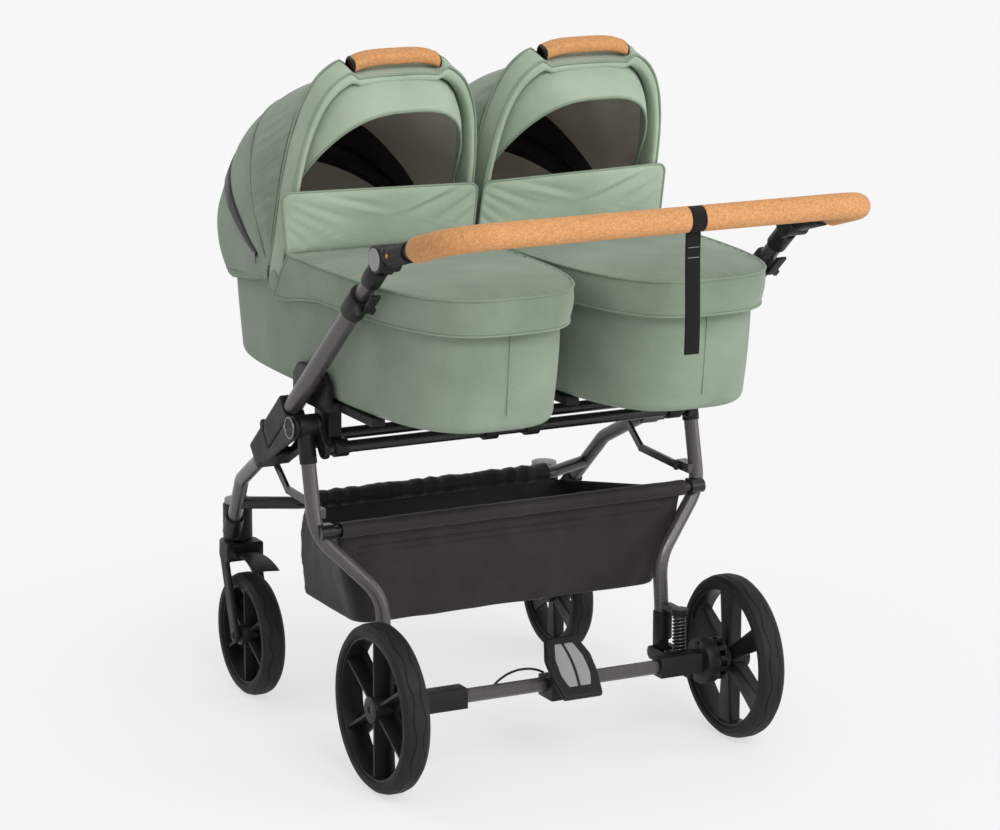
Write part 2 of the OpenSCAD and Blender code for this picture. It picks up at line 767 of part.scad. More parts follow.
module basket() color(cloth_black) stage() difference() {
  union() {
    difference() {
      basket_box(0, 0);
      basket_box(basket_wall, rail_d);
    }
    translate([0, rail_y, rail_z]) across_x(rail_d + 2 * basket_sleeve, -basket_w / 2, basket_w / 2);
    translate([0, front_tube_y, front_tube_z]) across_x(front_tube_d + 2 * basket_sleeve, -basket_hem_run / 2, basket_hem_run / 2);
  }
  translate([0, rail_y, rail_z]) across_x(rail_d + 2 * seat_gap, -basket_w, basket_w);
  translate([0, front_tube_y, front_tube_z]) across_x(front_tube_d + 2 * side_gap, -basket_w, basket_w);
}

// Fold links: bent flat bars hinged on the rear legs
module fold_links() color(black) pair() difference() {
  union() {
    flat_bar([link_low_y, link_low_z], [link_bend_y, link_bend_z], link_w / 2, link_x - link_t / 2, link_x + link_t / 2);
    flat_bar([link_bend_y, link_bend_z], [link_top_y, link_top_z], link_w / 2, link_x - link_t / 2, link_x + link_t / 2);
    for (p = [[link_low_y, link_low_z], [link_top_y, link_top_z]])
      translate([0, p[0], p[1]]) across_x(link_eye_d, link_x - link_t / 2, link_x + link_t / 2);
  }
  for (p = [[link_low_y, link_low_z], [link_top_y, link_top_z]])
    translate([0, p[0], p[1]]) across_x(link_pin_d + 2 * run_gap, link_x - link_t, link_x + link_t);
}

// Rear axle

module tube_outline(gap) {
  h = axle_tube_h / 2 + gap;
  t = axle_tube_t / 2 + gap;
  e = axle_tube_t * axle_tube_edge_share;
  polygon([[h - e, -t], [h, -t + e], [h, t - e], [h - e, t], [-h + e, t], [-h, t - e], [-h, -t + e], [-h + e, -t]]);
}
module axle_bar(x, gap) translate([-x, 0, rear_r]) rotate([0, 90, 0]) linear_extrude(2 * x) tube_outline(gap);

module axle_tube() color(anthracite) {
  stage() axle_bar(rear_x - tube_seat, 0);
  pair() translate([0, 0, rear_r]) across_x(axle_d, rear_x - stub_in, rear_x + stub_out);
}

module axle_housing() difference() {
  union() {
    box([rear_x - housing_in, -housing_t / 2, rear_r - housing_h / 2], [rear_x - housing_out + cut, housing_t / 2, rear_r + housing_h / 2]);
    translate([0, 0, rear_r]) across_x(drum_d, rear_x - drum_in, rear_x - drum_out);
    for (x = [foot_x - swing_w / 2 - swing_ear - side_gap, foot_x + swing_w / 2 + side_gap]) {
      box([x, 0, swing_z - swing_h / 2 * bar_fit_share], [x + swing_ear, swing_y, swing_z + swing_h / 2 * bar_fit_share]);
      translate([0, swing_y, swing_z]) across_x(swing_h, x, x + swing_ear);
    }
    box([foot_x - swing_w / 2 - swing_ear, seat_y0, spring_low_z - side_gap - seat_t], [foot_x + swing_w / 2 + swing_ear, seat_y0 + seat_len, spring_low_z - side_gap]);
    translate([0, swing_y, swing_z]) across_x(swing_pin_d, foot_x - swing_w / 2 - swing_ear, foot_x + swing_w / 2 + swing_ear);
  }
  axle_bar(rear_x - tube_seat + seat_gap, seat_gap);
  translate([0, 0, rear_r]) across_x(axle_d + 2 * seat_gap, rear_x - stub_in - seat_gap, rear_x);
  translate([0, 0, rear_r + pin_r]) across_x(pin_d + 2 * run_gap, drive_x - pin_rest_gap - pin_in - pin_travel, rear_x);
}

module pedal_mount() difference() {
  union() {
    box([-mount_w / 2, -mount_back, mount_low_z], [mount_w / 2, mount_front, mount_top_z]);
    for (x = [-mount_w / 2, mount_w / 2 - pedal_ear_t]) {
      box([x, pedal_y - pedal_r * bar_fit_share, mount_top_z - pedal_r], [x + pedal_ear_t, pedal_y + pedal_r * bar_fit_share, pedal_z]);
      translate([0, pedal_y, pedal_z]) across_x(2 * pedal_r, x, x + pedal_ear_t);
    }
    translate([0, pedal_y, pedal_z]) across_x(pedal_pin_d, -mount_w / 2, mount_w / 2);
  }
  axle_bar(mount_w, seat_gap);
}

module axle_housings() color(black) {
  pair() axle_housing();
  stage() pedal_mount();
}

// Springs: one unbroken wire each, between the seat on the housing and the cup on the leg's foot
spring_r = (spring_d - spring_wire) / 2;
spring_rise = spring_high_z - spring_low_z - spring_wire - 2 * side_gap;
spring_path = [for (k = [0:spring_turns * spring_rings]) let (a = 360 * k / spring_rings)
  [foot_x + spring_r * cos(a), spring_y + spring_r * sin(a),
   spring_low_z + side_gap + spring_wire / 2 + spring_rise * k / (spring_turns * spring_rings)]];
spring_gap = min([for (k = [0:(spring_turns - 1) * spring_rings]) norm(spring_path[k + spring_rings] - spring_path[k])]) - spring_wire;
echo("Least gap between turns of a spring", spring_gap);
module suspension_springs() color(grey) pair() tube_along(spring_path, spring_wire, spring_sides, [0, 0, 1]);

module brake_cable() color(black) stage() tube_along(cable_route, cable_d, cable_sides, [0, 1, 0]);

// Pedal: a sloped plate that rocks on the mount
module brake_pedal() color(black) stage() translate([0, pedal_y, pedal_z]) difference() {
  union() {
    across_x(2 * pedal_r, -mount_w / 2 + pedal_ear_t + side_gap, mount_w / 2 - pedal_ear_t - side_gap);
    rotate([pedal_slope, 0, 0]) {
      box([-mount_w / 4, -pedal_r, 0], [mount_w / 4, pedal_r, pedal_off + cut]);
      translate([0, 0, pedal_off]) linear_extrude(pedal_t) polygon([
        [-pedal_end_w / 2, -pedal_down], [pedal_end_w / 2, -pedal_down],
        [pedal_mid_w / 2, -pedal_down * pedal_edge_share], [pedal_mid_w / 2, pedal_up * pedal_edge_share],
        [pedal_top_w / 2, pedal_up], [-pedal_top_w / 2, pedal_up],
        [-pedal_mid_w / 2, pedal_up * pedal_edge_share], [-pedal_mid_w / 2, -pedal_down * pedal_edge_share]]);
    }
  }
  across_x(pedal_pin_d + 2 * run_gap, -mount_w, mount_w);
}

module brake_pin() color(grey) translate([0, 0, rear_r + pin_r]) across_x(pin_d, drive_x - pin_rest_gap - pin_in, drive_x - pin_rest_gap);
module left_brake_pin() left() brake_pin();
module right_brake_pin() right() brake_pin();

// Castor forks with their stems, front axles and lock tabs

module fork() color(black) {
  in = front_tyre_w / 2 + fork_gap;
  difference() {
    at_castor() union() {
      translate([0, 0, crown_low_z]) cylinder(d = crown_d, h = castor_low_z - crown_gap - crown_low_z);
      translate([0, 0, crown_low_z]) cylinder(d = stem_pin_d, h = castor_top_z - stem_pin_end - crown_low_z - crown_gap);
      box([-in - fork_arm_t + bar_step / 2, -crown_back, crown_low_z], [in + fork_arm_t - bar_step / 2, 0, castor_low_z - crown_gap]);
      for (x = [-in - fork_arm_t, in]) {
        flat_bar([-fork_arm_y, fork_arm_z], [-trail, front_r], fork_arm_r, x, x + fork_arm_t);
      }
      for (x = [-tab_w / 2 - side_gap - ear_t, tab_w / 2 + side_gap]) {
        box([x, -tab_y, tab_z - tab_r], [x + ear_t, -crown_back + cut, tab_z + tab_r]);
        translate([0, -tab_y, tab_z]) across_x(2 * tab_r + cut, x, x + ear_t);
      }
      translate([0, -tab_y, tab_z]) across_x(tab_pin_d, -tab_w / 2 - ear_t, tab_w / 2 + ear_t);
    }
    at_front_wheel() across_x(front_axle_d + 2 * seat_gap, -front_tyre_w, front_tyre_w);
  }
  at_front_wheel() across_x(front_axle_d, -in - fork_arm_t - axle_end, in + fork_arm_t + axle_end);
}
module left_fork() left() fork();
module right_fork() right() fork();

module swivel_lock() color(black) at_castor() translate([0, -tab_y, tab_z]) difference() {
  union() {
    across_x(2 * tab_r, -tab_w / 2, tab_w / 2);
    translate([0, 0, -tab_t / 2]) linear_extrude(tab_t) polygon([
      [-tab_w / 2, 0], [-tab_tip_w / 2, -tab_len], [tab_tip_w / 2, -tab_len], [tab_w / 2, 0]]);
    box([-tab_tip_w / 2, -tab_len, -tab_curl], [tab_tip_w / 2, -tab_len + tab_t, tab_t / 2]);
  }
  across_x(tab_pin_d + 2 * run_gap, -tab_w, tab_w);
}
module left_swivel_lock() left() swivel_lock();
module right_swivel_lock() right() swivel_lock();

// Handle: shoes on the fold hinges, push tubes, collars and levers

module arm_shoes() color(black) pair() arm_frame() difference() {
  union() {
    difference() {
      box([arm_x - arm_half, -shoe_len, -shoe_low], [arm_x + arm_half, 0, block_top]);
      translate([0, 0, block_top]) {
        across_x(2 * (knuckle_r + knuckle_slack), arm_x - arm_half - cut, arm_x - knuckle_w / 2);
        across_x(2 * (knuckle_r + knuckle_slack), arm_x + knuckle_w / 2, arm_x + arm_half + cut);
      }
    }
    translate([0, 0, block_top]) across_x(2 * knuckle_r, arm_x - knuckle_w / 2, arm_x + knuckle_w / 2);
  }
  translate([0, 0, block_top]) across_x(fold_pin_d + 2 * run_gap, arm_x - arm_half, arm_x + arm_half);
  translate([arm_x, 0, 0]) along_y(arm_d + 2 * seat_gap, -shoe_len - cut, -shoe_len + shoe_grip);
}

module push_tubes() color(anthracite) pair() arm_frame() translate([arm_x, 0, 0]) difference() {
  along_y(arm_d, -arm_top, -shoe_len + shoe_grip);
  along_y(tele_d + 2 * run_gap, -arm_top - cut, -shoe_len);
}

module clamp_collars() color(black) pair() arm_frame() difference() {
  union() {
    translate([arm_x, 0, 0]) along_y(collar_d, -arm_top - collar_lap, -arm_top - collar_lap + collar_len);
    for (x = [-lever_w / 2 - side_gap - ear_t, lever_w / 2 + side_gap])
      box([arm_x + x, -arm_top - collar_lap, -lever_drop - lever_knuckle / 2], [arm_x + x + ear_t, -arm_top - collar_lap + ear_len, 0]);
    translate([0, -arm_top, -lever_drop]) across_x(lever_pin_d, arm_x - lever_w / 2 - ear_t, arm_x + lever_w / 2 + ear_t);
  }
  translate([arm_x, 0, 0]) along_y(arm_d + 2 * seat_gap, -arm_top, cut);
  translate([arm_x, 0, 0]) along_y(tele_d + 2 * run_gap, -arm_top - collar_lap - cut, 0);
}

module clamp_lever() color(black) arm_frame() translate([0, -arm_top, -lever_drop]) difference() {
  union() {
    across_x(lever_knuckle, arm_x - lever_w / 2, arm_x + lever_w / 2);
    box([arm_x - lever_w / 2, -lever_len, -lever_knuckle / 2], [arm_x + lever_w / 2, 0, -lever_knuckle / 2 + lever_t]);
  }
  across_x(lever_pin_d + 2 * run_gap, arm_x - lever_w, arm_x + lever_w);
}
module left_clamp_lever() left() clamp_lever();
module right_clamp_lever() right() clamp_lever();

module telescopic_tubes() color(anthracite) pair() arm_frame() translate([arm_x, 0, 0])
  along_y(tele_d, -arm_len + elbow_root + cut, -tele_low);

module elbow_sockets() color(black) pair() arm_frame() translate([0, -arm_len, 0]) difference() {
  union() {
    across_x(elbow_d, arm_x - elbow_in, arm_x - side_gap);
    across_x(elbow_pin_d, arm_x - elbow_in, arm_x + elbow_pin_len);
    translate([arm_x, 0, 0]) along_y(stem_d, elbow_root, elbow_root + stem_len);
    box([arm_x - stem_d / 2, 0, -elbow_web / 2], [arm_x - side_gap, elbow_root + cut, elbow_web / 2]);
  }
  translate([arm_x, 0, 0]) along_y(tele_d + 2 * seat_gap, elbow_root + cut - seat_gap, elbow_root + stem_len + cut);
}

module elbow_heads() color(black) pair() elbow_frame() difference() {
  union() {
    across_x(elbow_d, arm_x + side_gap, arm_x + elbow_half);
    translate([arm_x, 0, 0]) along_y(stem_d, -elbow_root - head_len, -elbow_root);
    box([arm_x + side_gap, -elbow_root - cut, -elbow_web / 2], [arm_x + stem_d / 2, 0, elbow_web / 2]);
  }
  across_x(elbow_pin_d + 2 * run_gap, arm_x - elbow_in, arm_x + elbow_pin_len + side_gap);
  across_x(button_d + 2 * run_gap, arm_x + elbow_half + button_proud - button_t - button_travel - side_gap, arm_x + elbow_half + cut);
  translate([arm_x, 0, 0]) along_y(bar_d + 2 * seat_gap, -elbow_root - head_len - cut, -elbow_root - head_len + head_grip);
}

module elbow_button() color(grey) translate([0, elbow_y, elbow_z])
  across_x(button_d, arm_x + elbow_half + button_proud - button_t, arm_x + elbow_half + button_proud);
module left_elbow_button() left() elbow_button();
module right_elbow_button() right() elbow_button();

// A U along the handlebar: two legs, two round corners and the bar between them
module bar_u(d, leg_from) {
  corner_x = arm_x - bar_corner;
  translate([0, -bar_reach, 0]) across_x(d, -corner_x, corner_x);
  for (s = [0, 1]) mirror([s, 0, 0]) {
    translate([corner_x, -bar_reach + bar_corner, 0]) rotate([0, 0, -90]) rotate_extrude(angle = 90) translate([bar_corner, 0]) circle(d = d);
    translate([arm_x, 0, 0]) along_y(d, -bar_reach + bar_corner, -leg_from);
  }
}

module handlebar() color(anthracite) stage() elbow_frame() bar_u(bar_d, elbow_root + head_len - head_grip);

grip_from = 120;
module cork_grip() color(cork) stage() elbow_frame() difference() {
  bar_u(grip_d, grip_from);
  bar_u(bar_d + 2 * seat_gap, grip_from - cut);
  translate([0, -bar_reach, 0]) difference() {
    across_x(grip_d + cut, strap_place - strap_w / 2 - side_gap, strap_place + strap_w / 2 + side_gap);
    across_x(grip_d - 2 * strap_groove, strap_place - strap_w, strap_place + strap_w);
  }
}

// Wrist strap: a loop of webbing in the grip's groove and the doubled length that hangs from it
bar_y = elbow_y - bar_reach * cos(bar_angle);
bar_z = elbow_z + bar_reach * sin(bar_angle);
strap_bore = grip_d - 2 * strap_groove + 2 * side_gap;
module wrist_strap() color(black) stage() translate([0, bar_y, bar_z]) difference() {
  union() {
    across_x(strap_bore + 2 * strap_t, strap_place - strap_w / 2, strap_place + strap_w / 2);
    box([strap_place - strap_w / 2, -strap_ply / 2, -strap_bore / 2 - strap_drop], [strap_place + strap_w / 2, strap_ply / 2, 0]);
  }
  across_x(strap_bore, strap_place - strap_w, strap_place + strap_w);
}

// Carrycots, in the frame of the right one

function plan_ring(hw, y0, y1, z) = [for (k = [0:plan_n - 1])
  let (a = 360 * k / plan_n, e = sin(a) > 0 ? 2 / tub_head_round : 2 / tub_foot_round)
  [cot_x + hw * powered(cos(a), e), (y0 + y1) / 2 + (y1 - y0) / 2 * powered(sin(a), e), z]];
function tub_ring(z, inset) = let (f = (tub_rim_z - z) / (tub_rim_z - tub_base_z))
  plan_ring(tub_w / 2 - tub_taper * f - inset, -tub_foot + tub_end_taper * f + inset, tub_len - tub_foot - tub_end_taper * f - inset, z);
tub_edge_shares = [[0, 0.8], [0.12, 0.42], [0.42, 0.1], [1, 0]];

module hood_pin_place() translate([cot_x, hood_pivot_y, hood_pivot_z]) children();

module tub() color(sage) difference() {
  skin(concat([for (s = tub_edge_shares) tub_ring(tub_base_z + tub_edge * s[0], tub_edge * s[1])],
    [tub_ring(tub_rim_z, 0), tub_ring(tub_rim_z, tub_wall), tub_ring(tub_base_z + tub_floor, tub_wall)]));
  hood_pin_place() across_x(hood_pin_d + 2 * run_gap, -tub_w, tub_w);
}

module mattress() color([0.9, 0.9, 0.88]) {
  z0 = tub_base_z + tub_floor + side_gap;
  i = tub_wall + mattress_gap;
  c = mattress_gap;
  skin([tub_ring(z0, i + c), tub_ring(z0 + mattress_h / 4, i), tub_ring(z0 + mattress_h * mattress_share, i),
    tub_ring(z0 + mattress_h - mattress_gap / 2, i + 2 * c), tub_ring(z0 + mattress_h, i + tub_w / 4)]);
}

module base_rails() color(black) {
  z0 = adapter_top_z;
  z1 = adapter_top_z + rail_h;
  for (x = rail_places) box([x - rail_w / 2, rail_rear_y, z0], [x + rail_w / 2, rail_front_y, z1]);
  x1 = cot_x + tub_w / 2 + side_gap;
  box([rail_places[1], bracket_y0, z0], [x1 + bracket_t, bracket_y0 + bracket_len, z1]);
  translate([x1, 0, 0]) rotate([90, 0, 90]) linear_extrude(bracket_t) polygon([
    [bracket_y0, z0], [bracket_y0 + bracket_len, z0],
    [bracket_y0 + bracket_len, z1 + bracket_h - bracket_corner], [bracket_y0 + bracket_len - bracket_corner, z1 + bracket_h],
    [bracket_y0 + bracket_corner, z1 + bracket_h], [bracket_y0, z1 + bracket_h - bracket_corner]]);
}

// Apron: a cover over the foot half, with a skirt outside the tub and a crowned top
function apron_ring(inner, z, shrink, top) =
  let (front = apron_front - inner * apron_wall, foot = foot_out - inner * apron_foot_wall, mid = (front - foot) / 2)
  [for (p = plan_ring(apron_out - inner * apron_wall, -foot, 2 * tub_mid_y + foot, 0))
    let (y = min(p[1], front), rise = top ? 0 : soft((y - front + apron_lift_run) / apron_lift_run))
    [cot_x + (p[0] - cot_x) * shrink, mid + (y - mid) * shrink, z + (tub_rim_z + apron_front_rise - z) * rise]];
apron_out = tub_w / 2 + apron_gap + apron_wall;
foot_out = tub_foot + apron_gap + apron_foot_wall;
apron_low_z = apron_seam_z - apron_wall;

module apron() color(sage) skin(concat(
  [for (i = [len(apron_crown_shares) - 1:-1:0]) let (s = apron_crown_shares[i])
    apron_ring(1, apron_low_z + apron_crown * s[1], s[0], true)],
  [apron_ring(1, apron_low_z, 1, true), apron_ring(1, apron_hem_z, 1, false),
   apron_ring(0, apron_hem_z, 1, false), apron_ring(0, apron_seam_z, 1, true)],
  [for (s = apron_crown_shares) apron_ring(0, apron_seam_z + apron_crown * s[1], s[0], true)]));

// Wind flap: it stands at the apron's front edge and folds down over it
flap_y = apron_front + flap_hem_d / 2;
flap_z = apron_seam_z + flap_hem_d / 4;
module wind_flap() color(sage) translate([cot_x, flap_y, flap_z]) rotate([bow_angle - 90, 0, 0]) {
  hw = flap_w / 2;
  union() {
    across_x(flap_hem_d, -hw, hw);
    rotate([90, 0, 0]) translate([0, 0, -flap_t]) linear_extrude(flap_t) polygon([
      [-hw, 0], [hw, 0], [hw, flap_h - flap_corner], [hw - flap_corner, flap_h], [-hw + flap_corner, flap_h], [-hw, flap_h - flap_corner]]);
  }
}

// Hood: arches that fan out about the hood's hinge from the head end up to the bow

function arch_point(a, w, r, e, phi, set) = let (rho = hood_eye + (r - hood_eye) * powered(sin(a), 2 / e))
  [cot_x + w * powered(cos(a), 2 / e), hood_pivot_y + rho * cos(phi) + set * sin(phi), hood_pivot_z + rho * sin(phi) - set * cos(phi)];
function arch(w, r, e, phi, set) = [for (k = [0:arch_n]) arch_point(180 * k / arch_n, w, r, e, phi, set)];
function reversed(v) = [for (i = [len(v) - 1:-1:0]) v[i]];
hood_set = bow_depth / 2 + 2 * side_gap;

module hood() color(sage) band_skin([for (i = [0:hood_rows]) let (f = i / hood_rows, set = hood_set * f * f,
  phi = hood_low + (bow_angle - hood_low) * f, e = hood_bow_round * lookup(f, hood_round_shares), r = bow_r * lookup(f, hood_reach_shares))
  concat(arch(hood_w / 2, r, e, phi, set), reversed(arch(hood_w / 2 - hood_wall, r - hood_wall, e, phi, set)))]);

// A place on the bow, at a distance v across it
function bow_place(a, w, r, v) = let (rho = r * powered(sin(a), 2 / hood_bow_round))
  [cot_x + w * powered(cos(a), 2 / hood_bow_round),
   hood_pivot_y + rho * cos(bow_angle) - v * sin(bow_angle), hood_pivot_z + rho * sin(bow_angle) + v * cos(bow_angle)];

module hood_bow() color(sage) {
  boss_x = tub_w / 2 + side_gap;
  union() {
    skin([for (k = [0:arch_n + arch_n / 2]) let (a = 180 * k / (arch_n + arch_n / 2))
      [for (s = bow_section_shares) bow_place(a, hood_w / 2 - bow_t * (1 - s[0]) / 3, bow_r - bow_t * (1 - s[0]), bow_depth * s[1])]]);
    for (s = [0, 1]) translate([cot_x, hood_pivot_y, hood_pivot_z]) mirror([s, 0, 0]) {
      across_x(hood_boss_d, boss_x, boss_x + hood_boss_w);
      across_x(hood_pin_d, boss_x - tub_wall, boss_x + cut);
    }
  }
  band_skin([for (v = [visor_set, visor_set + visor_t])
    concat([for (k = [1:arch_n - 1]) bow_place(180 * k / arch_n, hood_w / 2 - bow_t, bow_r - bow_t - side_gap, v - bow_depth / 2)],
      reversed([for (k = [1:arch_n - 1]) let (a = 180 * k / arch_n, rho = visor_r * powered(sin(a), 2 / visor_round))
        [cot_x + (visor_w / 2 - bow_t) * powered(cos(a), 2 / visor_round), hood_pivot_y + rho * cos(bow_angle) - (v - bow_depth / 2) * sin(bow_angle),
         hood_pivot_z + rho * sin(bow_angle) + (v - bow_depth / 2) * cos(bow_angle)]]))]);
}

// Carry handle: a cork bar that stands on the bow at its ends and leaves a slot for the fingers
carry_from = acos(pow(carry_len / hood_w, hood_bow_round / 2));
function carry_rise(t) = side_gap + carry_t / 2 + carry_lift * (1 - pow(t, 4));
module carry_handle() color(cork) skin([for (k = [0:carry_steps])
  let (t = 2 * k / carry_steps - 1, a = carry_from + (180 - 2 * carry_from) * k / carry_steps)
  [for (p = carry_shares) bow_place(a, hood_w / 2, bow_r + carry_rise(t) + carry_t * p[1], carry_w * p[0])]]);

module left_tub() left() tub();
module right_tub() right() tub();
module left_base_rails() left() base_rails();
module right_base_rails() right() base_rails();
module left_mattress() left() mattress();
module right_mattress() right() mattress();
module left_apron() left() apron();
module right_apron() right() apron();
module left_wind_flap() left() wind_flap();
module right_wind_flap() right() wind_flap();
module left_hood() left() hood();
module right_hood() right() hood();
module left_hood_bow() left() hood_bow();
module right_hood_bow() right() hood_bow();
module left_carry_handle() left() carry_handle();
module right_carry_handle() right() carry_handle();

front_legs();
front_cross_tube();
hub_blocks();
frame_caps();
cot_cross_tubes();
cot_adapters();
castor_housings();
rear_legs();
leg_fittings();
basket_rail();
basket();
fold_links();
axle_tube();
axle_housings();
suspension_springs();
brake_cable();
brake_pedal();
left_brake_pin();
right_brake_pin();
left_rear_tyre();
left_rear_rim();
right_rear_tyre();
right_rear_rim();
left_front_tyre();
left_front_rim();
right_front_tyre();
right_front_rim();
left_fork();
right_fork();
left_swivel_lock();
right_swivel_lock();
arm_shoes();
push_tubes();
clamp_collars();
left_clamp_lever();
right_clamp_lever();
telescopic_tubes();
elbow_sockets();
elbow_heads();
left_elbow_button();
right_elbow_button();
handlebar();
cork_grip();
wrist_strap();
left_tub();
right_tub();
left_base_rails();
right_base_rails();
left_mattress();
right_mattress();
left_apron();
right_apron();
left_wind_flap();
right_wind_flap();
left_hood();
right_hood();
left_hood_bow();
right_hood_bow();
left_carry_handle();
right_carry_handle();
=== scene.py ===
# %% [markdown]
# # A twin pram
#
# Two fabric carrycots stand side by side on one folding tube frame. The frame comes in as finished solids,
# and this script dresses it: finishes for tubes, plastic, cork and rubber, and new soft pieces for every
# cloth part. The solids come first, because each new piece takes its place from them.

# %% Load the frame
import json
import math

import bpy
import numpy as np
from mathutils import Matrix, Vector, noise


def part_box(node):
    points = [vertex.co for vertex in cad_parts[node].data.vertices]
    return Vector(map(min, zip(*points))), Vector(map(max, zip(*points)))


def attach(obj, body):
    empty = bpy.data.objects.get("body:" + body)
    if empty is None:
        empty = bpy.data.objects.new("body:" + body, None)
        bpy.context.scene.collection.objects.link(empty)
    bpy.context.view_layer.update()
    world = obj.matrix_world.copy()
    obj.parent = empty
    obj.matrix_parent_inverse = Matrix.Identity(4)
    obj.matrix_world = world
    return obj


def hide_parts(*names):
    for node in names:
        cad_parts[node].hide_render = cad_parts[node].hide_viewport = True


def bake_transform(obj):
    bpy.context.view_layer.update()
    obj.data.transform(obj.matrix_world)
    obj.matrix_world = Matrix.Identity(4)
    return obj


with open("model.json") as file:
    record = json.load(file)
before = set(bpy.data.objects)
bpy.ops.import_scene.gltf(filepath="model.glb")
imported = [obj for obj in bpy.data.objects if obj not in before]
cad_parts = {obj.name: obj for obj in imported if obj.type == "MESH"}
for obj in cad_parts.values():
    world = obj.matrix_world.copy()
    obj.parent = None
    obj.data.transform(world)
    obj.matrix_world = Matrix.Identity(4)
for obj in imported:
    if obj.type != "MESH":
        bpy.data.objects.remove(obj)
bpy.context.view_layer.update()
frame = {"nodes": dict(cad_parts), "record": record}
scene = bpy.context.scene
scene.view_settings.view_transform = "Standard"
bodies = frame["record"]["behaviour"]["bodies"]
body_of_node = {node: body for body, nodes in bodies.items() for node in nodes}
slot_of_node = {part["node"]: part["material_slot"] for part in frame["record"]["subparts"]}
tyre_low, tyre_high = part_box("right_rear_tyre")
AXLE_Y = (tyre_low.y + tyre_high.y) / 2
print("loaded", len(frame["nodes"]), "solids; the rear axle is at", round(AXLE_Y, 4))

# %% [markdown]
# ## Camera and light
#
# The pram is seen from behind its left side, a little from above, through a long lens. A long lens could be
# faked by moving close and cropping, but then the near wheel would grow. So the camera stands about six
# metres off. Three large lamps and a pale world light it evenly, and the floor is pale enough to be the
# backdrop.

# %% Place the camera
AZIMUTH = math.radians(-27.385)
ELEVATION = math.radians(13.026)
ROLL = math.radians(0.2275)
SENSOR = 36.0
FOCAL_SHARE = 3.6468
CAMERA_PLACE = (-2.760, -5.102 + AXLE_Y, 1.935)
back = Vector((
    math.sin(AZIMUTH) * math.cos(ELEVATION),
    -math.cos(AZIMUTH) * math.cos(ELEVATION),
    math.sin(ELEVATION),
))
level = Vector((math.cos(AZIMUTH), math.sin(AZIMUTH), 0.0))
upright = back.cross(level)
right = level * math.cos(ROLL) + upright * math.sin(ROLL)
up = upright * math.cos(ROLL) - level * math.sin(ROLL)
camera_data = bpy.data.cameras.new("camera")
camera_data.sensor_width = SENSOR
camera_data.lens = SENSOR * FOCAL_SHARE
camera = bpy.data.objects.new("camera", camera_data)
turn = Matrix((right, up, back)).transposed().to_4x4()
camera.matrix_world = Matrix.Translation(CAMERA_PLACE) @ turn
scene.collection.objects.link(camera)
scene.camera = camera
print("camera lens", round(camera_data.lens, 1), "mm")

# %% [markdown]
# The key lamp stands high behind the handle, so the near faces are bright. The world is seen as an even
# backdrop, and it lights the pram with less strength than it shows.

# %% Light the studio
LAMPS = {
    "key": ((-0.4, -6.2, 5.2), 3.6, 330.0),
    "fill": ((3.6, -3.0, 1.9), 2.6, 62.0),
    "top": ((-0.6, 1.6, 3.8), 3.0, 22.0),
}
LAMP_AIM = Vector((0.0, 0.0, 0.6))
ROOM_STRENGTH = 0.5
BACKDROP_TONE = (0.90, 0.90, 0.90, 1.0)
MIRROR_RAYS = ("Is Glossy Ray", "Is Transmission Ray")
for lamp_name, (place, width, power) in LAMPS.items():
    lamp_data = bpy.data.lights.new(lamp_name, "AREA")
    lamp_data.size = width
    lamp_data.energy = power
    lamp = bpy.data.objects.new(lamp_name, lamp_data)
    lamp.location = place
    lamp.rotation_euler = (LAMP_AIM - Vector(place)).to_track_quat("-Z", "Y").to_euler()
    scene.collection.objects.link(lamp)
world = bpy.data.worlds.new("studio")
world.use_nodes = True
scene.world = world
world_nodes = world.node_tree.nodes
world_links = world.node_tree.links
room = world_nodes["Background"]
room.inputs["Color"].default_value = (1.0, 1.0, 1.0, 1.0)
room.inputs["Strength"].default_value = ROOM_STRENGTH
backdrop = world_nodes.new("ShaderNodeBackground")
backdrop.inputs["Color"].default_value = BACKDROP_TONE
rays = world_nodes.new("ShaderNodeLightPath")
choose = world_nodes.new("ShaderNodeMixShader")
seen = rays.outputs["Is Camera Ray"]
for kind in MIRROR_RAYS:
    either = world_nodes.new("ShaderNodeMath")
    either.operation = "MAXIMUM"
    world_links.new(seen, either.inputs[0])
    world_links.new(rays.outputs[kind], either.inputs[1])
    seen = either.outputs[0]
world_links.new(seen, choose.inputs[0])
world_links.new(room.outputs[0], choose.inputs[1])
world_links.new(backdrop.outputs[0], choose.inputs[2])
world_links.new(choose.outputs[0], world_nodes["World Output"].inputs["Surface"])
print("lamps", ", ".join(LAMPS))

# %% [markdown]
# ## Writing finishes as sums
#
# A finish is a small network of nodes. Wiring nodes one by one hides what they do, so a socket is wrapped in
# a class that knows plus, minus, times and divide. Then a finish reads like the formula it is.

# %% Wrap a socket


def colour(text):
    """Linear colour from a six-digit web colour."""
    parts = [int(text[i : i + 2], 16) / 255 for i in (0, 2, 4)]
    linear = [c / 12.92 if c <= 0.04045 else ((c + 0.055) / 1.055) ** 2.4 for c in parts]
    return (*linear, 1.0)


class Wire:
    """One output socket; arithmetic on it adds Math nodes."""

    def __init__(self, finish, socket):
        self.finish = finish
        self.socket = socket

    def sum_of(self, operation, other):
        return self.finish.add("Math", {"operation": operation}, [self, other])

    def __add__(self, other):
        return self.sum_of("ADD", other)

    def __sub__(self, other):
        return self.sum_of("SUBTRACT", other)

    def __mul__(self, other):
        return self.sum_of("MULTIPLY", other)

    def __truediv__(self, other):
        return self.sum_of("DIVIDE", other)

    def between(self, low, high, to_low=0.0, to_high=1.0):
        """This value mapped from one span to another, smoothly and held at the ends."""
        inputs = {"Value": self, "From Min": low, "From Max": high, "To Min": to_low, "To Max": to_high}
        return self.finish.add("MapRange", {"interpolation_type": "SMOOTHSTEP"}, inputs)


print("white is", colour("FFFFFF"))

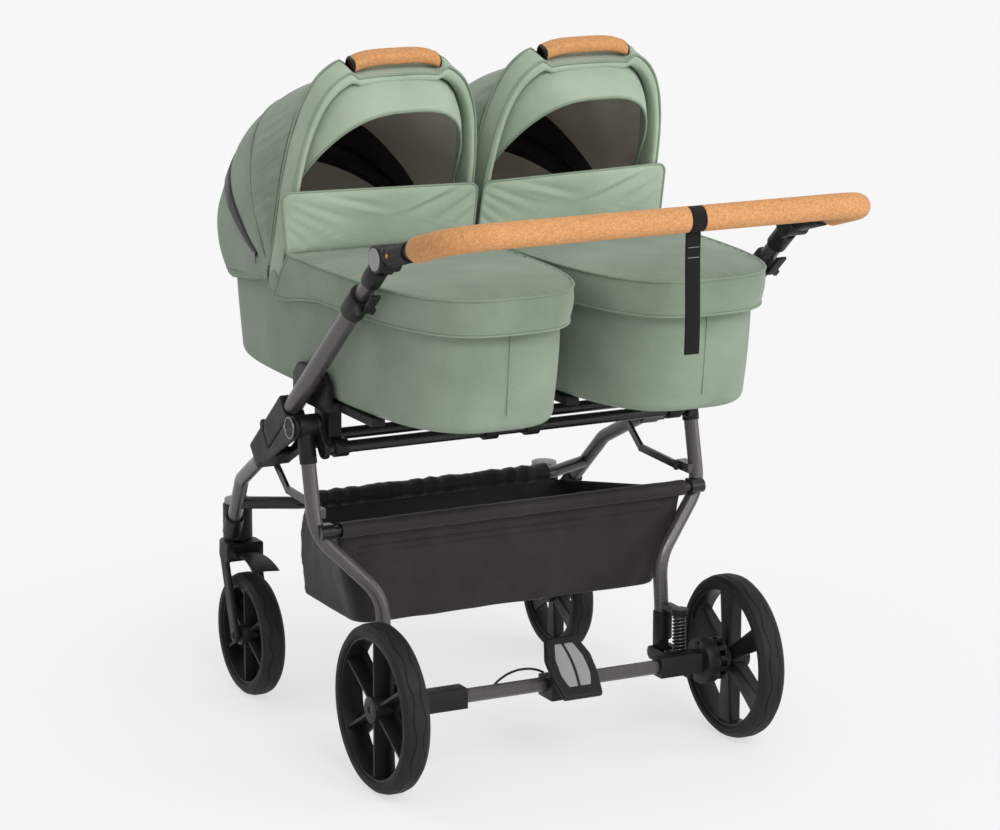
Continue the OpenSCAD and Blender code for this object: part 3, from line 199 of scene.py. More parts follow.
# %% [markdown]
# A finish keeps one shader. Whatever is constant is set on the shader's own sockets, and only what varies
# over the surface is wired in.

# %% Build a finish


class Finish:
    """A material with one Principled shader, whose constants are set on its own sockets."""

    def __init__(self, name, fixed):
        self.material = bpy.data.materials.new(name)
        self.material.use_nodes = True
        self.tree = self.material.node_tree
        self.shader = self.tree.nodes["Principled BSDF"]
        for socket, value in fixed.items():
            self.shader.inputs[socket].default_value = value
        self.place = self.add("TexCoord", {}, {}, "Object")

    def add(self, kind, settings, inputs, output=None):
        """A node with its settings and inputs, given back as the wire of one of its outputs."""
        node = self.tree.nodes.new("ShaderNode" + kind)
        for key, value in settings.items():
            setattr(node, key, value)
        live = [socket for socket in node.inputs if socket.enabled]
        pairs = enumerate(inputs) if isinstance(inputs, list) else inputs.items()
        for key, value in pairs:
            socket = live[key] if isinstance(key, int) else next(s for s in live if s.name == key)
            if isinstance(value, Wire):
                self.tree.links.new(value.socket, socket)
            else:
                socket.default_value = value
        outputs = [socket for socket in node.outputs if socket.enabled]
        chosen = outputs[0] if output is None else next(s for s in outputs if s.name == output)
        return Wire(self, chosen)

    def grain(self, scale, detail=2.0):
        """Soft noise, from 0 to 1, with about scale lumps a metre."""
        return self.add("TexNoise", {}, {"Vector": self.place, "Scale": scale, "Detail": detail})

    def cells(self, scale, output="Distance"):
        """About scale cells a metre: the distance to the nearest middle, or each cell's colour."""
        return self.add("TexVoronoi", {}, {"Vector": self.place, "Scale": scale}, output)

    def bands(self, axis, scale):
        """Even waves, from 0 to 1, that follow one another along an axis."""
        return self.add("TexWave", {"bands_direction": axis}, {"Vector": self.place, "Scale": scale})

    def mix(self, factor, first, second):
        """A colour between two, by a factor."""
        return self.add("Mix", {"data_type": "RGBA"}, {"Factor": factor, "A": first, "B": second}, "Result")

    def feed(self, socket, wire):
        """Wires one of the shader's sockets."""
        self.tree.links.new(wire.socket, self.shader.inputs[socket])
        return self

    def bump(self, height, depth):
        """Height from 0 to 1 as a relief of that depth in metres."""
        return self.feed("Normal", self.add("Bump", {}, {"Height": height, "Distance": depth}, "Normal"))


def dress(piece, finishes):
    """Gives a piece its materials."""
    piece.data.materials.clear()
    for finish in finishes:
        piece.data.materials.append(finish.material)
    return piece


print("a finish knows", [name for name in vars(Finish) if not name.startswith("_")])

# %% [markdown]
# ## Cloth
#
# The cots are covered in a dense plain weave with a soft sheen. Yarn could be modelled thread by thread, but
# at half a millimetre a thread it only shows as a fine tooth. So bands along all three axes give the tooth,
# slow noise gives the small change of tone that dyed cloth has, and a larger noise gives the soft crumple
# between seams.

# %% Mix the cloths


def cloth(name, dark, light, thread, crumple, sheen, rough=0.8):
    """A woven finish. A larger thread is a finer weave, and crumple is how far the cloth is rumpled."""
    fixed = {"Roughness": rough, "Sheen Weight": sheen, "Sheen Roughness": 0.45, "Specular IOR Level": 0.25}
    finish = Finish(name, fixed)
    slow = finish.grain(9.0, 3.0)
    fine = finish.grain(420.0, 1.0)
    tone = slow * 0.75 + fine * 0.25
    finish.feed("Base Color", finish.mix(tone.between(0.25, 0.75), colour(dark), colour(light)))
    weave = (finish.bands("X", thread) + finish.bands("Y", thread) + finish.bands("Z", thread)) / 3.0
    soft = finish.grain(16.0, 2.0)
    finish.bump(weave * 0.06 + soft * crumple, 0.004)
    return finish


WEAVE = 330.0
sage = cloth("sage_cloth", "7A8977", "8C9A89", WEAVE, 0.55, 0.18)
# A lighter copy of the sage cloth, painted light for the visor, bow pads and flaps.
lit_sage = cloth("lit_sage_cloth", "98A894", "ABB9A6", WEAVE, 0.4, 0.22)
trim_sage = cloth("sage_binding", "7D8D7A", "8F9E8B", WEAVE, 0.1, 0.16)
lining = cloth("lining_cloth", "D8D1C6", "ECE6DC", WEAVE, 0.5, 0.2)
mesh_black = cloth("vent_mesh", "141312", "2A2827", 120.0, 0.3, 0.1, 0.7)
basket_black = cloth("basket_cloth", "221F1F", "2E2B2A", WEAVE, 0.9, 0.12, 0.62)
mattress_white = cloth("mattress_cloth", "D2CFC8", "E4E1DA", 220.0, 0.6, 0.25)
CLOTHS = (sage, lit_sage, trim_sage, lining, mesh_black, basket_black, mattress_white)
print("cloths", [finish.material.name for finish in CLOTHS])

# %% [markdown]
# The straps are a flat woven band: ribs run across it, and the ribs are what catches the light.

# %% Mix the webbing
webbing = Finish("black_webbing", {"Roughness": 0.7, "Specular IOR Level": 0.2})
ribs = webbing.bands("Z", 130.0)
webbing.feed("Base Color", webbing.mix(ribs, colour("0C0B0C"), colour("171617"))).bump(ribs, 0.0005)
print("webbing", webbing.material.name)

# %% [markdown]
# ## Cork
#
# The grips are pressed cork: pale grains of two to four millimetres in a warm binder, with a scatter of dark
# bark specks. Cells give the grains, and a second, finer set of cells gives the specks.

# %% Mix the cork
cork = Finish("pressed_cork", {"Roughness": 0.72, "Specular IOR Level": 0.3})
grains = cork.add("SeparateColor", {}, {"Color": cork.cells(400.0, "Color")}, "Red")
specks = cork.cells(520.0).between(0.16, 0.34, 1.0, 0.0) * cork.grain(260.0, 2.0).between(0.46, 0.6)
flow = cork.grain(28.0, 3.0)
pale = cork.mix(grains * 0.85 + flow * 0.15, colour("BC8250"), colour("D49E69"))
cork.feed("Base Color", cork.mix(specks * 0.75, pale, colour("7E4A22")))
cork.bump(grains * 0.4 + cork.cells(300.0) * 0.6, 0.0006)
print("cork", cork.material.name)

# %% [markdown]
# ## Metal, plastic and rubber
#
# The tubes have a fine matt coat, so their gloss is broken by a very small grain. The moulded pieces are the
# same idea in black, with a slightly different gloss from place to place. The tyres get a rubber of their own
# further down, with the tread in it.

# %% Mix the hard finishes


def coated(name, dark, light, rough, metallic, grain_size=1400.0, depth=0.00012, gloss=0.5):
    """A hard finish with a fine grain; its roughness strays a little round its middle value."""
    finish = Finish(name, {"Metallic": metallic, "Specular IOR Level": gloss})
    fine = finish.grain(grain_size, 2.0)
    slow = finish.grain(22.0, 3.0)
    finish.feed("Base Color", finish.mix(slow * 0.6 + fine * 0.4, colour(dark), colour(light)))
    finish.feed("Roughness", slow.between(0.3, 0.7, rough - 0.06, rough + 0.06))
    return finish.bump(fine, depth)


tube_grey = coated("anthracite_coat", "4C4A49", "5A5756", 0.3, 0.4)
tube_black = coated("black_coat", "181717", "232121", 0.26, 0.2)
plastic = coated("black_moulding", "100F0F", "191817", 0.46, 0.0, 1800.0, gloss=0.24)
plastic_grey = coated("grey_moulding", "86868B", "97979B", 0.5, 0.0, 1800.0)
pad_grey = coated("pedal_pad", "81817F", "959592", 0.62, 0.0, 900.0, 0.0003, 0.3)
steel = coated("bright_steel", "77777A", "939395", 0.32, 1.0)
spring_metal = coated("spring_metal", "505052", "68686A", 0.34, 1.0)
brass = coated("brass_screw", "B58A4E", "D0A566", 0.32, 1.0)
FINISH_OF_SLOT = {
    "black_plastic": plastic,
    "anthracite_tube": tube_grey,
    "black_tube": tube_black,
    "sage_fabric": sage,
    "cork": cork,
    "grey_plastic": plastic_grey,
    "spring_steel": steel,
    "basket_fabric": basket_black,
    "mattress_fabric": mattress_white,
    "webbing": webbing,
}
for node, solid in frame["nodes"].items():
    if slot_of_node[node] in FINISH_OF_SLOT:
        dress(solid, [FINISH_OF_SLOT[slot_of_node[node]]])
print("finishes for", ", ".join(FINISH_OF_SLOT))

# %% [markdown]
# ## The floor
#
# The backdrop in a product picture is one pale sweep. A large plane does it, because the camera looks down
# far enough that no horizon shows. Lamps this close would leave its far end grey, so with distance the
# plane's matt white gives way to the backdrop's own even tone, and near the pram it keeps the soft shadow.

# %% Lay the floor
FLOOR_SIZE = 120.0
FLOOR_NEAR = 0.35
FLOOR_FAR = 1.5
BLACK = (0.0, 0.0, 0.0, 1.0)
FAR_TONE = (0.91, 0.91, 0.91, 1.0)
bpy.ops.object.select_all(action="DESELECT")
bpy.ops.mesh.primitive_plane_add(size=FLOOR_SIZE, location=(0.0, 0.0, 0.0))
floor = bpy.context.object
floor.name = "floor"
bpy.ops.object.mode_set(mode="EDIT")
bpy.ops.mesh.subdivide(number_cuts=4)
bpy.ops.object.mode_set(mode="OBJECT")
white = Finish("pale_floor", {"Roughness": 0.9, "Specular IOR Level": 0.1, "Emission Strength": 1.0})
spread = white.add("VectorMath", {"operation": "LENGTH"}, [white.place], "Value")
sweep = white.add("LightPath", {}, {}, "Is Camera Ray")
for kind in MIRROR_RAYS:
    sweep = white.add("Math", {"operation": "MAXIMUM"}, [sweep, white.add("LightPath", {}, {}, kind)])
far = spread.between(FLOOR_NEAR, FLOOR_FAR, 0.7, 1.0) * sweep
matt = white.mix(white.grain(0.6, 1.0), (0.92, 0.92, 0.92, 1.0), (0.94, 0.94, 0.94, 1.0))
white.feed("Base Color", white.mix(far, matt, BLACK))
white.feed("Emission Color", white.mix(far, BLACK, FAR_TONE))
dress(floor, [white])
print("floor", floor.dimensions.x, "m across")

# %% [markdown]
# ## Tools for soft pieces
#
# Most steps below do the same few things to a piece: dress it, name its body, merge its points,
# apply a modifier to it, shade it. One helper for each keeps those steps short.

# %% Helpers for pieces
MM = 0.001


def to_frame(points, side):
    """Millimetres from the rear axle, drawn on the right, as metres in the frame."""
    out = np.array(points, float) * MM
    out[..., 0] *= side
    out[..., 1] += AXLE_Y
    return out


def wear(piece, body, finishes, replaced=()):
    """Gives a piece its materials and its body, and hides the solids it stands for."""
    dress(piece, finishes)
    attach(piece, body)
    if replaced:
        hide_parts(*replaced)
    return piece


def pick(piece):
    """Makes a piece the only selected and active one."""
    bpy.ops.object.select_all(action="DESELECT")
    piece.select_set(True)
    bpy.context.view_layer.objects.active = piece


def modify(piece, kind, **settings):
    """Adds a modifier with these settings and applies it."""
    pick(piece)
    modifier = piece.modifiers.new(kind.lower(), kind)
    for key, value in settings.items():
        setattr(modifier, key, value)
    bpy.ops.object.modifier_apply(modifier=modifier.name)
    return piece


def weld(piece, reach, outward=False):
    """Merges points closer than reach, in metres, and can turn all faces outwards."""
    pick(piece)
    bpy.ops.object.mode_set(mode="EDIT")
    bpy.ops.mesh.select_all(action="SELECT")
    bpy.ops.mesh.remove_doubles(threshold=reach)
    if outward:
        bpy.ops.mesh.normals_make_consistent(inside=False)
    bpy.ops.object.mode_set(mode="OBJECT")
    return piece


def shade(piece, angle):
    """Shades a piece smooth, apart from edges sharper than an angle in degrees."""
    pick(piece)
    bpy.ops.object.shade_smooth_by_angle(angle=math.radians(angle))
    return piece


SIDES = {"left": -1, "right": 1}
print("helpers for pieces ready, for the sides", ", ".join(SIDES))

# %% [markdown]
# Cloth pieces are drawn as rows of points in millimetres from the rear axle, for the right-hand cot, and laid
# into a mesh. The left cot takes the same rows with X turned over. Small helpers space points evenly, push a
# surface in and out along its own normals, and run a bead of piping along a seam.

# %% Helpers for rows, relief and piping
ROW_WELD = 0.00001


def lay_rows(name, rows, side=1, loop=False, closed=False, angle=60.0):
    """A mesh over rows of points. A loop joins each row's end to its start."""
    points = to_frame(rows, side)
    count, across = points.shape[:2]
    span = across if loop else across - 1
    faces = []
    for i in range(count - 1):
        for j in range(span):
            a, b = i * across + j, i * across + (j + 1) % across
            quad = (a, b, b + across, a + across)
            faces.append(quad if side > 0 else quad[::-1])
    mesh = bpy.data.meshes.new(name)
    mesh.from_pydata(points.reshape(-1, 3).tolist(), [], faces)
    mesh.update()
    piece = bpy.data.objects.new(name, mesh)
    scene.collection.objects.link(piece)
    return shade(weld(piece, ROW_WELD, closed), angle)


def relief(piece, height):
    """Moves each point along its own normal by height(point), in millimetres."""
    for vertex in piece.data.vertices:
        vertex.co += vertex.normal * (height(vertex.co) * MM)
    piece.data.update()
    return piece


def sway(point, size, seed):
    """Smooth noise between about -1 and 1, with lumps of the given size in metres."""
    return noise.noise(Vector(point) / size + Vector((seed * 7.3, seed * 3.1, seed * 5.7)))


def sway_rows(rows, size, seed):
    """The same noise for rows of points in metres."""
    return np.array([[sway(point, size, seed) for point in row] for row in rows])


def frame_along(path):
    """Two cross directions that follow a path without twisting."""
    path = np.array(path, float)
    tangent = np.gradient(path, axis=0)
    tangent /= np.linalg.norm(tangent, axis=1)[:, None]
    start = np.array((0.0, 0.0, 1.0)) if abs(tangent[0][2]) < 0.9 else np.array((0.0, 1.0, 0.0))
    normals = []
    for t in tangent:
        start = start - t * start.dot(t)
        start /= np.linalg.norm(start)
        normals.append(start)
    normals = np.array(normals)
    return normals, np.cross(tangent, normals)


def bead(name, path, diameter, side, sides=8):
    """A round bead along a path in millimetres, such as piping, a zip's puller or a cable."""
    path = np.array(path, float)
    turns = np.linspace(0, 2 * math.pi, sides, endpoint=False)
    rows = [np.repeat(path[:1], sides, 0)]
    for point, first, second in zip(path, *frame_along(path)):
        around = np.cos(turns)[:, None] * first + np.sin(turns)[:, None] * second
        rows.append(point + diameter / 2 * around)
    rows.append(np.repeat(path[-1:], sides, 0))
    return lay_rows(name, np.array(rows), side, True, True)


def trim(name, path, diameter, side, body, sides=8):
    """A bead of the green binding on a body."""
    return wear(bead(name, path, diameter, side, sides), body, [trim_sage])


print("rows can be laid, swayed and piped; noise at the origin is", round(sway((0, 0, 0), 1.0, 1), 3))

# %% [markdown]
# The shapes themselves are sums. A few small functions read tables, ease steps, turn circles into squarer
# outlines, space points evenly along a path and push rows along their normals.

# %% Helpers for numbers and outlines


def table(pairs, x):
    """A value read from a short table of pairs, with straight lines between."""
    return np.interp(x, [p[0] for p in pairs], [p[1] for p in pairs])


def eased(t):
    """A smooth step from 0 to 1."""
    t = np.clip(t, 0.0, 1.0)
    return t * t * (3 - 2 * t)


def powered(v, e):
    """A power that keeps the sign."""
    return np.sign(v) * np.abs(v) ** e


def even(path, count, loop=False):
    """The same path with evenly spaced points."""
    path = np.array(path, float)
    if loop:
        path = np.vstack([path, path[:1]])
    run = np.concatenate([[0.0], np.cumsum(np.linalg.norm(np.diff(path, axis=0), axis=1))])
    places = np.linspace(0, run[-1], count + 1)[:-1] if loop else np.linspace(0, run[-1], count)
    return np.stack([np.interp(places, run, path[:, k]) for k in range(path.shape[1])], 1)


def push(rows, height):
    """Rows moved along their own normals by a height in millimetres."""
    along = np.gradient(rows, axis=1)
    across = np.gradient(rows, axis=0)
    normal = np.cross(along, across)
    normal /= np.maximum(np.linalg.norm(normal, axis=2), 1e-9)[..., None]
    return rows + normal * height[..., None]


def capped(rows):
    """Rows closed at both ends by a point in the middle of the end row."""
    rows = np.array(rows)
    first = np.repeat(rows[0].mean(0)[None], rows.shape[1], 0)
    last = np.repeat(rows[-1].mean(0)[None], rows.shape[1], 0)
    return np.concatenate([first[None], rows, last[None]])


print("an eased step is", eased(0.25), "at a quarter")

# %% [markdown]
# ## The tubs
#
# A carrycot's tub is a stiff shell with cloth drawn over it, longer than wide, with blunt rounded ends. It
# could be a box with heavy bevels, but its ends are not round in the same way, so each ring is drawn as a
# rounded outline and the rings are stacked. Outside is the green cloth, and over the rim the pale lining runs
# down inside.

# %% Draw the tub's rings
COT_X = 177.0
TUB_HALF = 160.0
TUB_FOOT = -155.0
TUB_HEAD = 675.0
TUB_BASE = 612.0
TUB_RIM = 800.0
TUB_TAPER = 8.0
TUB_END_TAPER = 18.0
TUB_EDGE = 16.0
TUB_WALL = 12.0
TUB_MIDDLE = (TUB_FOOT + TUB_HEAD) / 2
HEAD_ROUND = 4.5
FOOT_ROUND = 3.2
WALL_FOOT = 636.0
WALL_BULGE = 1.6


def tub_ring(z, inset, count=170):
    """The tub's outline at a height, drawn in by an inset."""
    drop = (TUB_RIM - min(z, TUB_RIM)) / (TUB_RIM - TUB_BASE)
    half = max(TUB_HALF - TUB_TAPER * drop - inset, 0.0)
    low = TUB_FOOT + TUB_END_TAPER * drop + inset
    high = TUB_HEAD - TUB_END_TAPER * drop - inset
    turns = np.linspace(0, 2 * math.pi, 1600, endpoint=False)
    power = np.where(np.sin(turns) > 0, 2 / HEAD_ROUND, 2 / FOOT_ROUND)
    x = COT_X + half * powered(np.cos(turns), power)
    y = (low + high) / 2 + (high - low) / 2 * powered(np.sin(turns), power)
    ring = even(np.stack([x, y], 1), count, True)
    return np.column_stack([ring, np.full(count, z)])


outside = [(TUB_BASE, TUB_HALF), (TUB_BASE, 90.0), (TUB_BASE, 40.0)]
for turn in np.radians(np.linspace(0, 90, 7)):
    outside.append((TUB_BASE + TUB_EDGE * (1 - math.cos(turn)), 0.8 * TUB_EDGE * (1 - math.sin(turn))))
for z in np.linspace(648, 796, 14):
    outside.append((z, -WALL_BULGE * math.sin(math.pi * (z - WALL_FOOT) / (TUB_RIM - WALL_FOOT))))
over_rim = [(799.5, 1.0), (801.5, 4.0), (801.5, 8.0), (799.5, 11.0)]
inside = [(z, TUB_WALL) for z in np.linspace(790, 640, 8)]
inside += [(627.0, 18.0), (624.0, 34.0), (624.0, 90.0), (624.0, TUB_HALF)]
print("tub rings:", len(outside), "outside,", len(over_rim), "over the rim,", len(inside), "inside")

# %% [markdown]
# The rings are stacked into one closed shell. Small lumps keep its wall from looking like plastic, and a seam
# runs down the foot end.

# %% Stack the tubs
SEAM_LEVELS = np.linspace(640.0, 786.0, 16)
SEAM_PROUD = 2.0
SEAM_WIDE = 2.4
TUB_LUMPS = 1.6
for name, side in SIDES.items():
    rows = np.array([tub_ring(z, inset) for z, inset in outside + over_rim + inside])
    lumps = sway_rows(rows * MM * np.array((side, 1.0, 0.6)), 0.11, 1 + side)
    wall = eased((rows[..., 2] - 634) / 40) * (np.arange(len(rows)) < len(outside))[:, None]
    rows = push(rows, TUB_LUMPS * lumps * wall)
    tub = lay_rows(name + "_tub_cover", rows, side, True, True)
    wear(tub, name + "_cot", [sage, lining], [name + "_tub"])
    for face in tub.data.polygons:
        flat = abs(face.normal.z) > 0.9
        x, y, z = face.center
        toward = face.normal.x * (x - side * COT_X * MM) + face.normal.y * (y - AXLE_Y - TUB_MIDDLE * MM)
        is_inside = (flat and face.normal.z > 0 and z < 0.7) or (not flat and toward < 0)
        face.material_index = 1 if is_inside else 0
    seam_line = []
    for z in SEAM_LEVELS:
        ring = tub_ring(z, -SEAM_PROUD, 400)
        foot_half = ring[ring[:, 1] < 0]
        seam_line.append(foot_half[np.argmin(np.abs(foot_half[:, 0] - COT_X))])
    trim(name + "_tub_seam", seam_line, SEAM_WIDE, side, name + "_cot", 6)
    print(tub.name, len(tub.data.polygons), "faces")

# %% [markdown]
# The mattress is a quilted pad that lies in the tub. It is a flat bag with foam in it, so it is blown up a
# little by a cloth simulation: pressure from inside rounds its edges the way filling does.

# %% Blow up a pad
PUFF_VOXEL = 0.008
PUFF_CAP = 0.005
PUFF_PRESSURE = 4.0
PUFF_FRAMES = 20


def puff(piece):
    """Swells a closed piece with a cloth simulation. No point moves further than the cap, in metres."""
    modify(piece, "REMESH", mode="VOXEL", voxel_size=PUFF_VOXEL)
    before = np.array([v.co for v in piece.data.vertices])
    swell = piece.modifiers.new("swell", "CLOTH")
    swell.settings.use_pressure = True
    swell.settings.uniform_pressure_force = PUFF_PRESSURE
    swell.settings.effector_weights.gravity = 0.0
    swell.point_cache.frame_start = 1
    swell.point_cache.frame_end = PUFF_FRAMES
    for step in range(1, PUFF_FRAMES + 1):
        scene.frame_set(step)
    pick(piece)
    bpy.ops.object.modifier_apply(modifier=swell.name)
    after = np.array([v.co for v in piece.data.vertices])
    move = after - before
    length = np.linalg.norm(move, axis=1)
    move *= (np.minimum(length, PUFF_CAP) / np.maximum(length, 1e-9))[:, None]
    piece.data.vertices.foreach_set("co", (before + move).astype(np.float32).ravel())
    piece.data.update()
    scene.frame_set(1)
    bpy.ops.object.shade_smooth()
    most = float(np.linalg.norm(move, axis=1).max()) / MM
    print(piece.name, "swelled by up to", round(most, 1), "mm")
    return piece


MATTRESS = [
    (625.5, TUB_HALF), (625.5, 60.0), (626.0, 32.0), (630.0, 25.0), (640.0, 23.0),
    (650.0, 25.0), (654.0, 32.0), (656.0, 60.0), (657.0, TUB_HALF),
]
for name, side in SIDES.items():
    rows = np.array([tub_ring(z, inset, 120) for z, inset in MATTRESS])
    mattress = lay_rows(name + "_mattress_pad", rows, side, True, True)
    puff(mattress)
    wear(mattress, name + "_cot", [mattress_white], [name + "_mattress"])
    print(mattress.name, len(mattress.data.polygons), "faces")

# %% [markdown]
# ## The aprons
#
# The apron covers the foot half of a cot: a padded top panel with a piped edge and a skirt that hangs over
# the tub's rim. Its skirt runs forward into a point beside the hood. One sheet with a seam could be folded to
# shape, but drawing the top as shrinking outlines and the skirt as a strip below keeps the piped edge crisp.

# %% Draw the apron's outlines
APRON_HALF = 172.0
APRON_FOOT = -182.0
APRON_FRONT = 312.0
APRON_SEAM = 836.0
APRON_CROWN = 12.0
SKIRT_REACH = 386.0
HEM_TABLE = [(-190, 777), (-100, 778), (20, 778), (100, 776), (200, 776), (270, 767), (340, 754), (400, 753)]
U_COUNT = 210
FRONT_COUNT = 56


TOP_SHARES = (0.0, 0.15, 0.3, 0.45, 0.6, 0.72, 0.82, 0.89, 0.94, 0.97, 0.99, 1.0)
TOP_PUCKER = 1.4
TOP_LUMPS = 3.4
SKIRT_PUCKER = 0.8
APRON_HEM = 4.0
APRON_PIPING = 4.6


def apron_u(reach, spread=0.0):
    """The apron's plan from its inner front corner round the foot to the other, to a reach forwards."""
    turns = np.linspace(math.pi, 2 * math.pi, 900)
    half = APRON_HALF + spread
    foot_x = COT_X + half * powered(np.cos(turns), 2 / FOOT_ROUND)
    foot_y = TUB_MIDDLE + (TUB_MIDDLE - APRON_FOOT + spread) * powered(np.sin(turns), 2 / FOOT_ROUND)
    foot = np.stack([foot_x, foot_y], 1)
    return even(np.vstack([[(COT_X - half, reach)], foot, [(COT_X + half, reach)]]), U_COUNT)


def apron_top():
    """Rings of the top panel, from its middle out to the piped edge, where it puckers."""
    around = apron_u(APRON_FRONT)
    front = np.linspace(around[-1], around[0], FRONT_COUNT + 2)[1:-1]
    ring = np.vstack([around, front])
    middle = np.array((COT_X, (APRON_FRONT + APRON_FOOT) / 2))
    n = np.arange(len(ring))
    wave = TOP_PUCKER * np.sin(n * 1.5 + 2 * np.sin(n * 0.31))
    rows = []
    for s in TOP_SHARES:
        plan = middle + (ring - middle) * s
        pucker = wave * math.exp(-((1 - s) / 0.09)) * (s < 0.999)
        lumps = sway_rows([np.column_stack([plan * MM, np.full(len(plan), 0.3)])], 0.085, 4)[0]
        height = APRON_SEAM + APRON_CROWN * (1 - s**3.2) + TOP_LUMPS * (1 - s**8) * lumps + pucker
        rows.append(np.column_stack([plan, height]))
    return np.array(rows)


def apron_skirt():
    """Rows of the skirt, from the piped edge down to the hem."""
    n = np.arange(U_COUNT)
    wave = SKIRT_PUCKER * np.sin(n * 1.9 + 2.0 * np.sin(n * 0.27))
    rows = []
    for q in np.linspace(0, 1, 12):
        bulge = 2.0 * math.sin(math.pi * min(q * 1.15, 1)) - 5.0 * q**2
        line = apron_u(APRON_FRONT + (SKIRT_REACH - APRON_FRONT) * q, bulge)
        hem = table(HEM_TABLE, line[:, 1])
        pucker = wave * math.exp(-q / 0.22) * (q > 0)
        height = APRON_SEAM - (APRON_SEAM - hem) * q
        outward = line - np.array((COT_X, 60.0))
        outward /= np.linalg.norm(outward, axis=1)[:, None]
        rows.append(np.column_stack([line + outward * pucker[:, None] * 0.6, height]))
    return np.array(rows)


print("apron", len(TOP_SHARES), "rings, from", APRON_FOOT, "to", APRON_FRONT, "mm")

# %% [markdown]
# The top and the skirt are joined at the piped edge and given a thickness. Then the edge and the hem get
# their beads.

# %% Sew the aprons


def join_pieces(pieces):
    """Several meshes as one, under the first one's name."""
    bpy.ops.object.select_all(action="DESELECT")
    for piece in pieces:
        piece.select_set(True)
    bpy.context.view_layer.objects.active = pieces[0]
    bpy.ops.object.join()
    return pieces[0]


def thicken(piece, millimetres, inner_slot=0):
    """A wall of cloth: thickness inwards, with another material on the inner side."""
    wall = {"thickness": millimetres * MM, "offset": -1.0, "use_even_offset": False}
    return modify(piece, "SOLIDIFY", material_offset=inner_slot, material_offset_rim=0, **wall)


for name, side in SIDES.items():
    skirt = apron_skirt()
    cover = lay_rows(name + "_apron_cover", apron_top()[:, ::-1], side, True)
    edge = lay_rows(name + "_apron_skirt", skirt[:, ::-1], side)
    apron = shade(weld(join_pieces([cover, edge]), ROW_WELD, True), 75.0)
    dress(apron, [sage, lining])
    thicken(apron, 3.0, 1)
    wear(apron, name + "_cot", [sage, lining], [name + "_apron"])
    seam_path = np.column_stack([apron_u(APRON_FRONT, 0.6), np.full(U_COUNT, APRON_SEAM)])
    trim(name + "_apron_piping", seam_path, APRON_PIPING, side, name + "_cot")
    low_edge = skirt[-1] + np.array((0.0, 0.0, 0.5))
    hem_path = np.vstack([skirt[:, 0], low_edge[1:-1], skirt[::-1, -1]])
    trim(name + "_apron_hem", hem_path, APRON_HEM, side, name + "_cot")
    print(apron.name, len(apron.data.polygons), "faces")

# %% [markdown]
# ## The wind flaps
#
# A padded flap stands up from the apron's front edge and closes the gap below the hood. It is a thin pad, so
# it is drawn as two shallow pillows back to back. It is too thin for the cloth simulation, which frays its
# rim, so it is subdivided and creased instead: long folds run in from its sides, where it is sewn down.

# %% Draw the flap and its creases
FLAP_Y = 316.0
FLAP_Z = 838.0
FLAP_HALF = 172.0
FLAP_INNER = 171.0
FLAP_TUCK = -4.0
FLAP_OUTER = {"left": (172.0, 189.0), "right": (181.0, 179.0)}
FLAP_H = 102.0
FLAP_MID = 4.0
FLAP_LEAN = math.radians(13.0)
FLAP_CORNER = 15.0
FLAP_OUTER_RISE = 3.0
FLAP_INNER_DROP = 5.0
FLAP_COUNT = 170
CREASES = [
    ((-168, 92), (-40, 36), 6.0),
    ((-170, 76), (-70, 18), 5.5),
    ((-171, 58), (-104, 8), 5.0),
    ((-172, 38), (-138, 4), 4.5),
    ((-120, 98), (20, 60), 7.0),
    ((168, 84), (70, 22), 6.0),
    ((171, 60), (112, 8), 5.0),
    ((150, 98), (30, 48), 7.0),
]


def flap_place(u, w, n):
    """A point of the flap: u across, w up from its hem and n forwards through its thickness."""
    y = FLAP_Y + n * math.cos(FLAP_LEAN) - w * math.sin(FLAP_LEAN)
    z = FLAP_Z + n * math.sin(FLAP_LEAN) + w * math.cos(FLAP_LEAN)
    return np.stack([COT_X + u, y, z], -1)


def flap_outline(low_out, top_out):
    """The flap's outline; u grows outwards, and the outer edge hangs a little differently on each side."""
    r = FLAP_CORNER
    turns = np.radians(np.linspace(0, 90, 12))
    outer_high = FLAP_H + FLAP_OUTER_RISE - r
    inner_high = FLAP_H - FLAP_INNER_DROP - r
    outer_top = np.stack([top_out - r + r * np.cos(turns), outer_high + r * np.sin(turns)], 1)
    inner_top = np.stack([-(FLAP_INNER - r) - r * np.sin(turns), inner_high + r * np.cos(turns)], 1)
    hem = [(-FLAP_HALF, FLAP_TUCK), (low_out, FLAP_TUCK)]
    return even(np.vstack([hem, outer_top, inner_top]), FLAP_COUNT, True)


def flap_creases(u, w):
    """How far the folds rise and dip at points of the flap: each is a groove with a ridge beside it."""
    total = np.zeros_like(u)
    for (u0, w0), (u1, w1), wide in CREASES:
        run = np.array((u1 - u0, w1 - w0))
        length = np.linalg.norm(run)
        t = ((u - u0) * run[0] + (w - w0) * run[1]) / length**2
        off = ((u - u0) * run[1] - (w - w0) * run[0]) / length
        fade = np.sin(np.pi * np.clip(t, 0, 1)) ** 0.7
        total += fade * (2.0 * np.exp(-(((off - wide) / wide) ** 2)) - 3.0 * np.exp(-((off / wide) ** 2)))
    return total


print("flap creases", len(CREASES))

# %% [markdown]
# Both pillows are laid into one mesh, which is subdivided once. Only its rear side is pushed in and out along
# the creases, and the rim gets its piping.

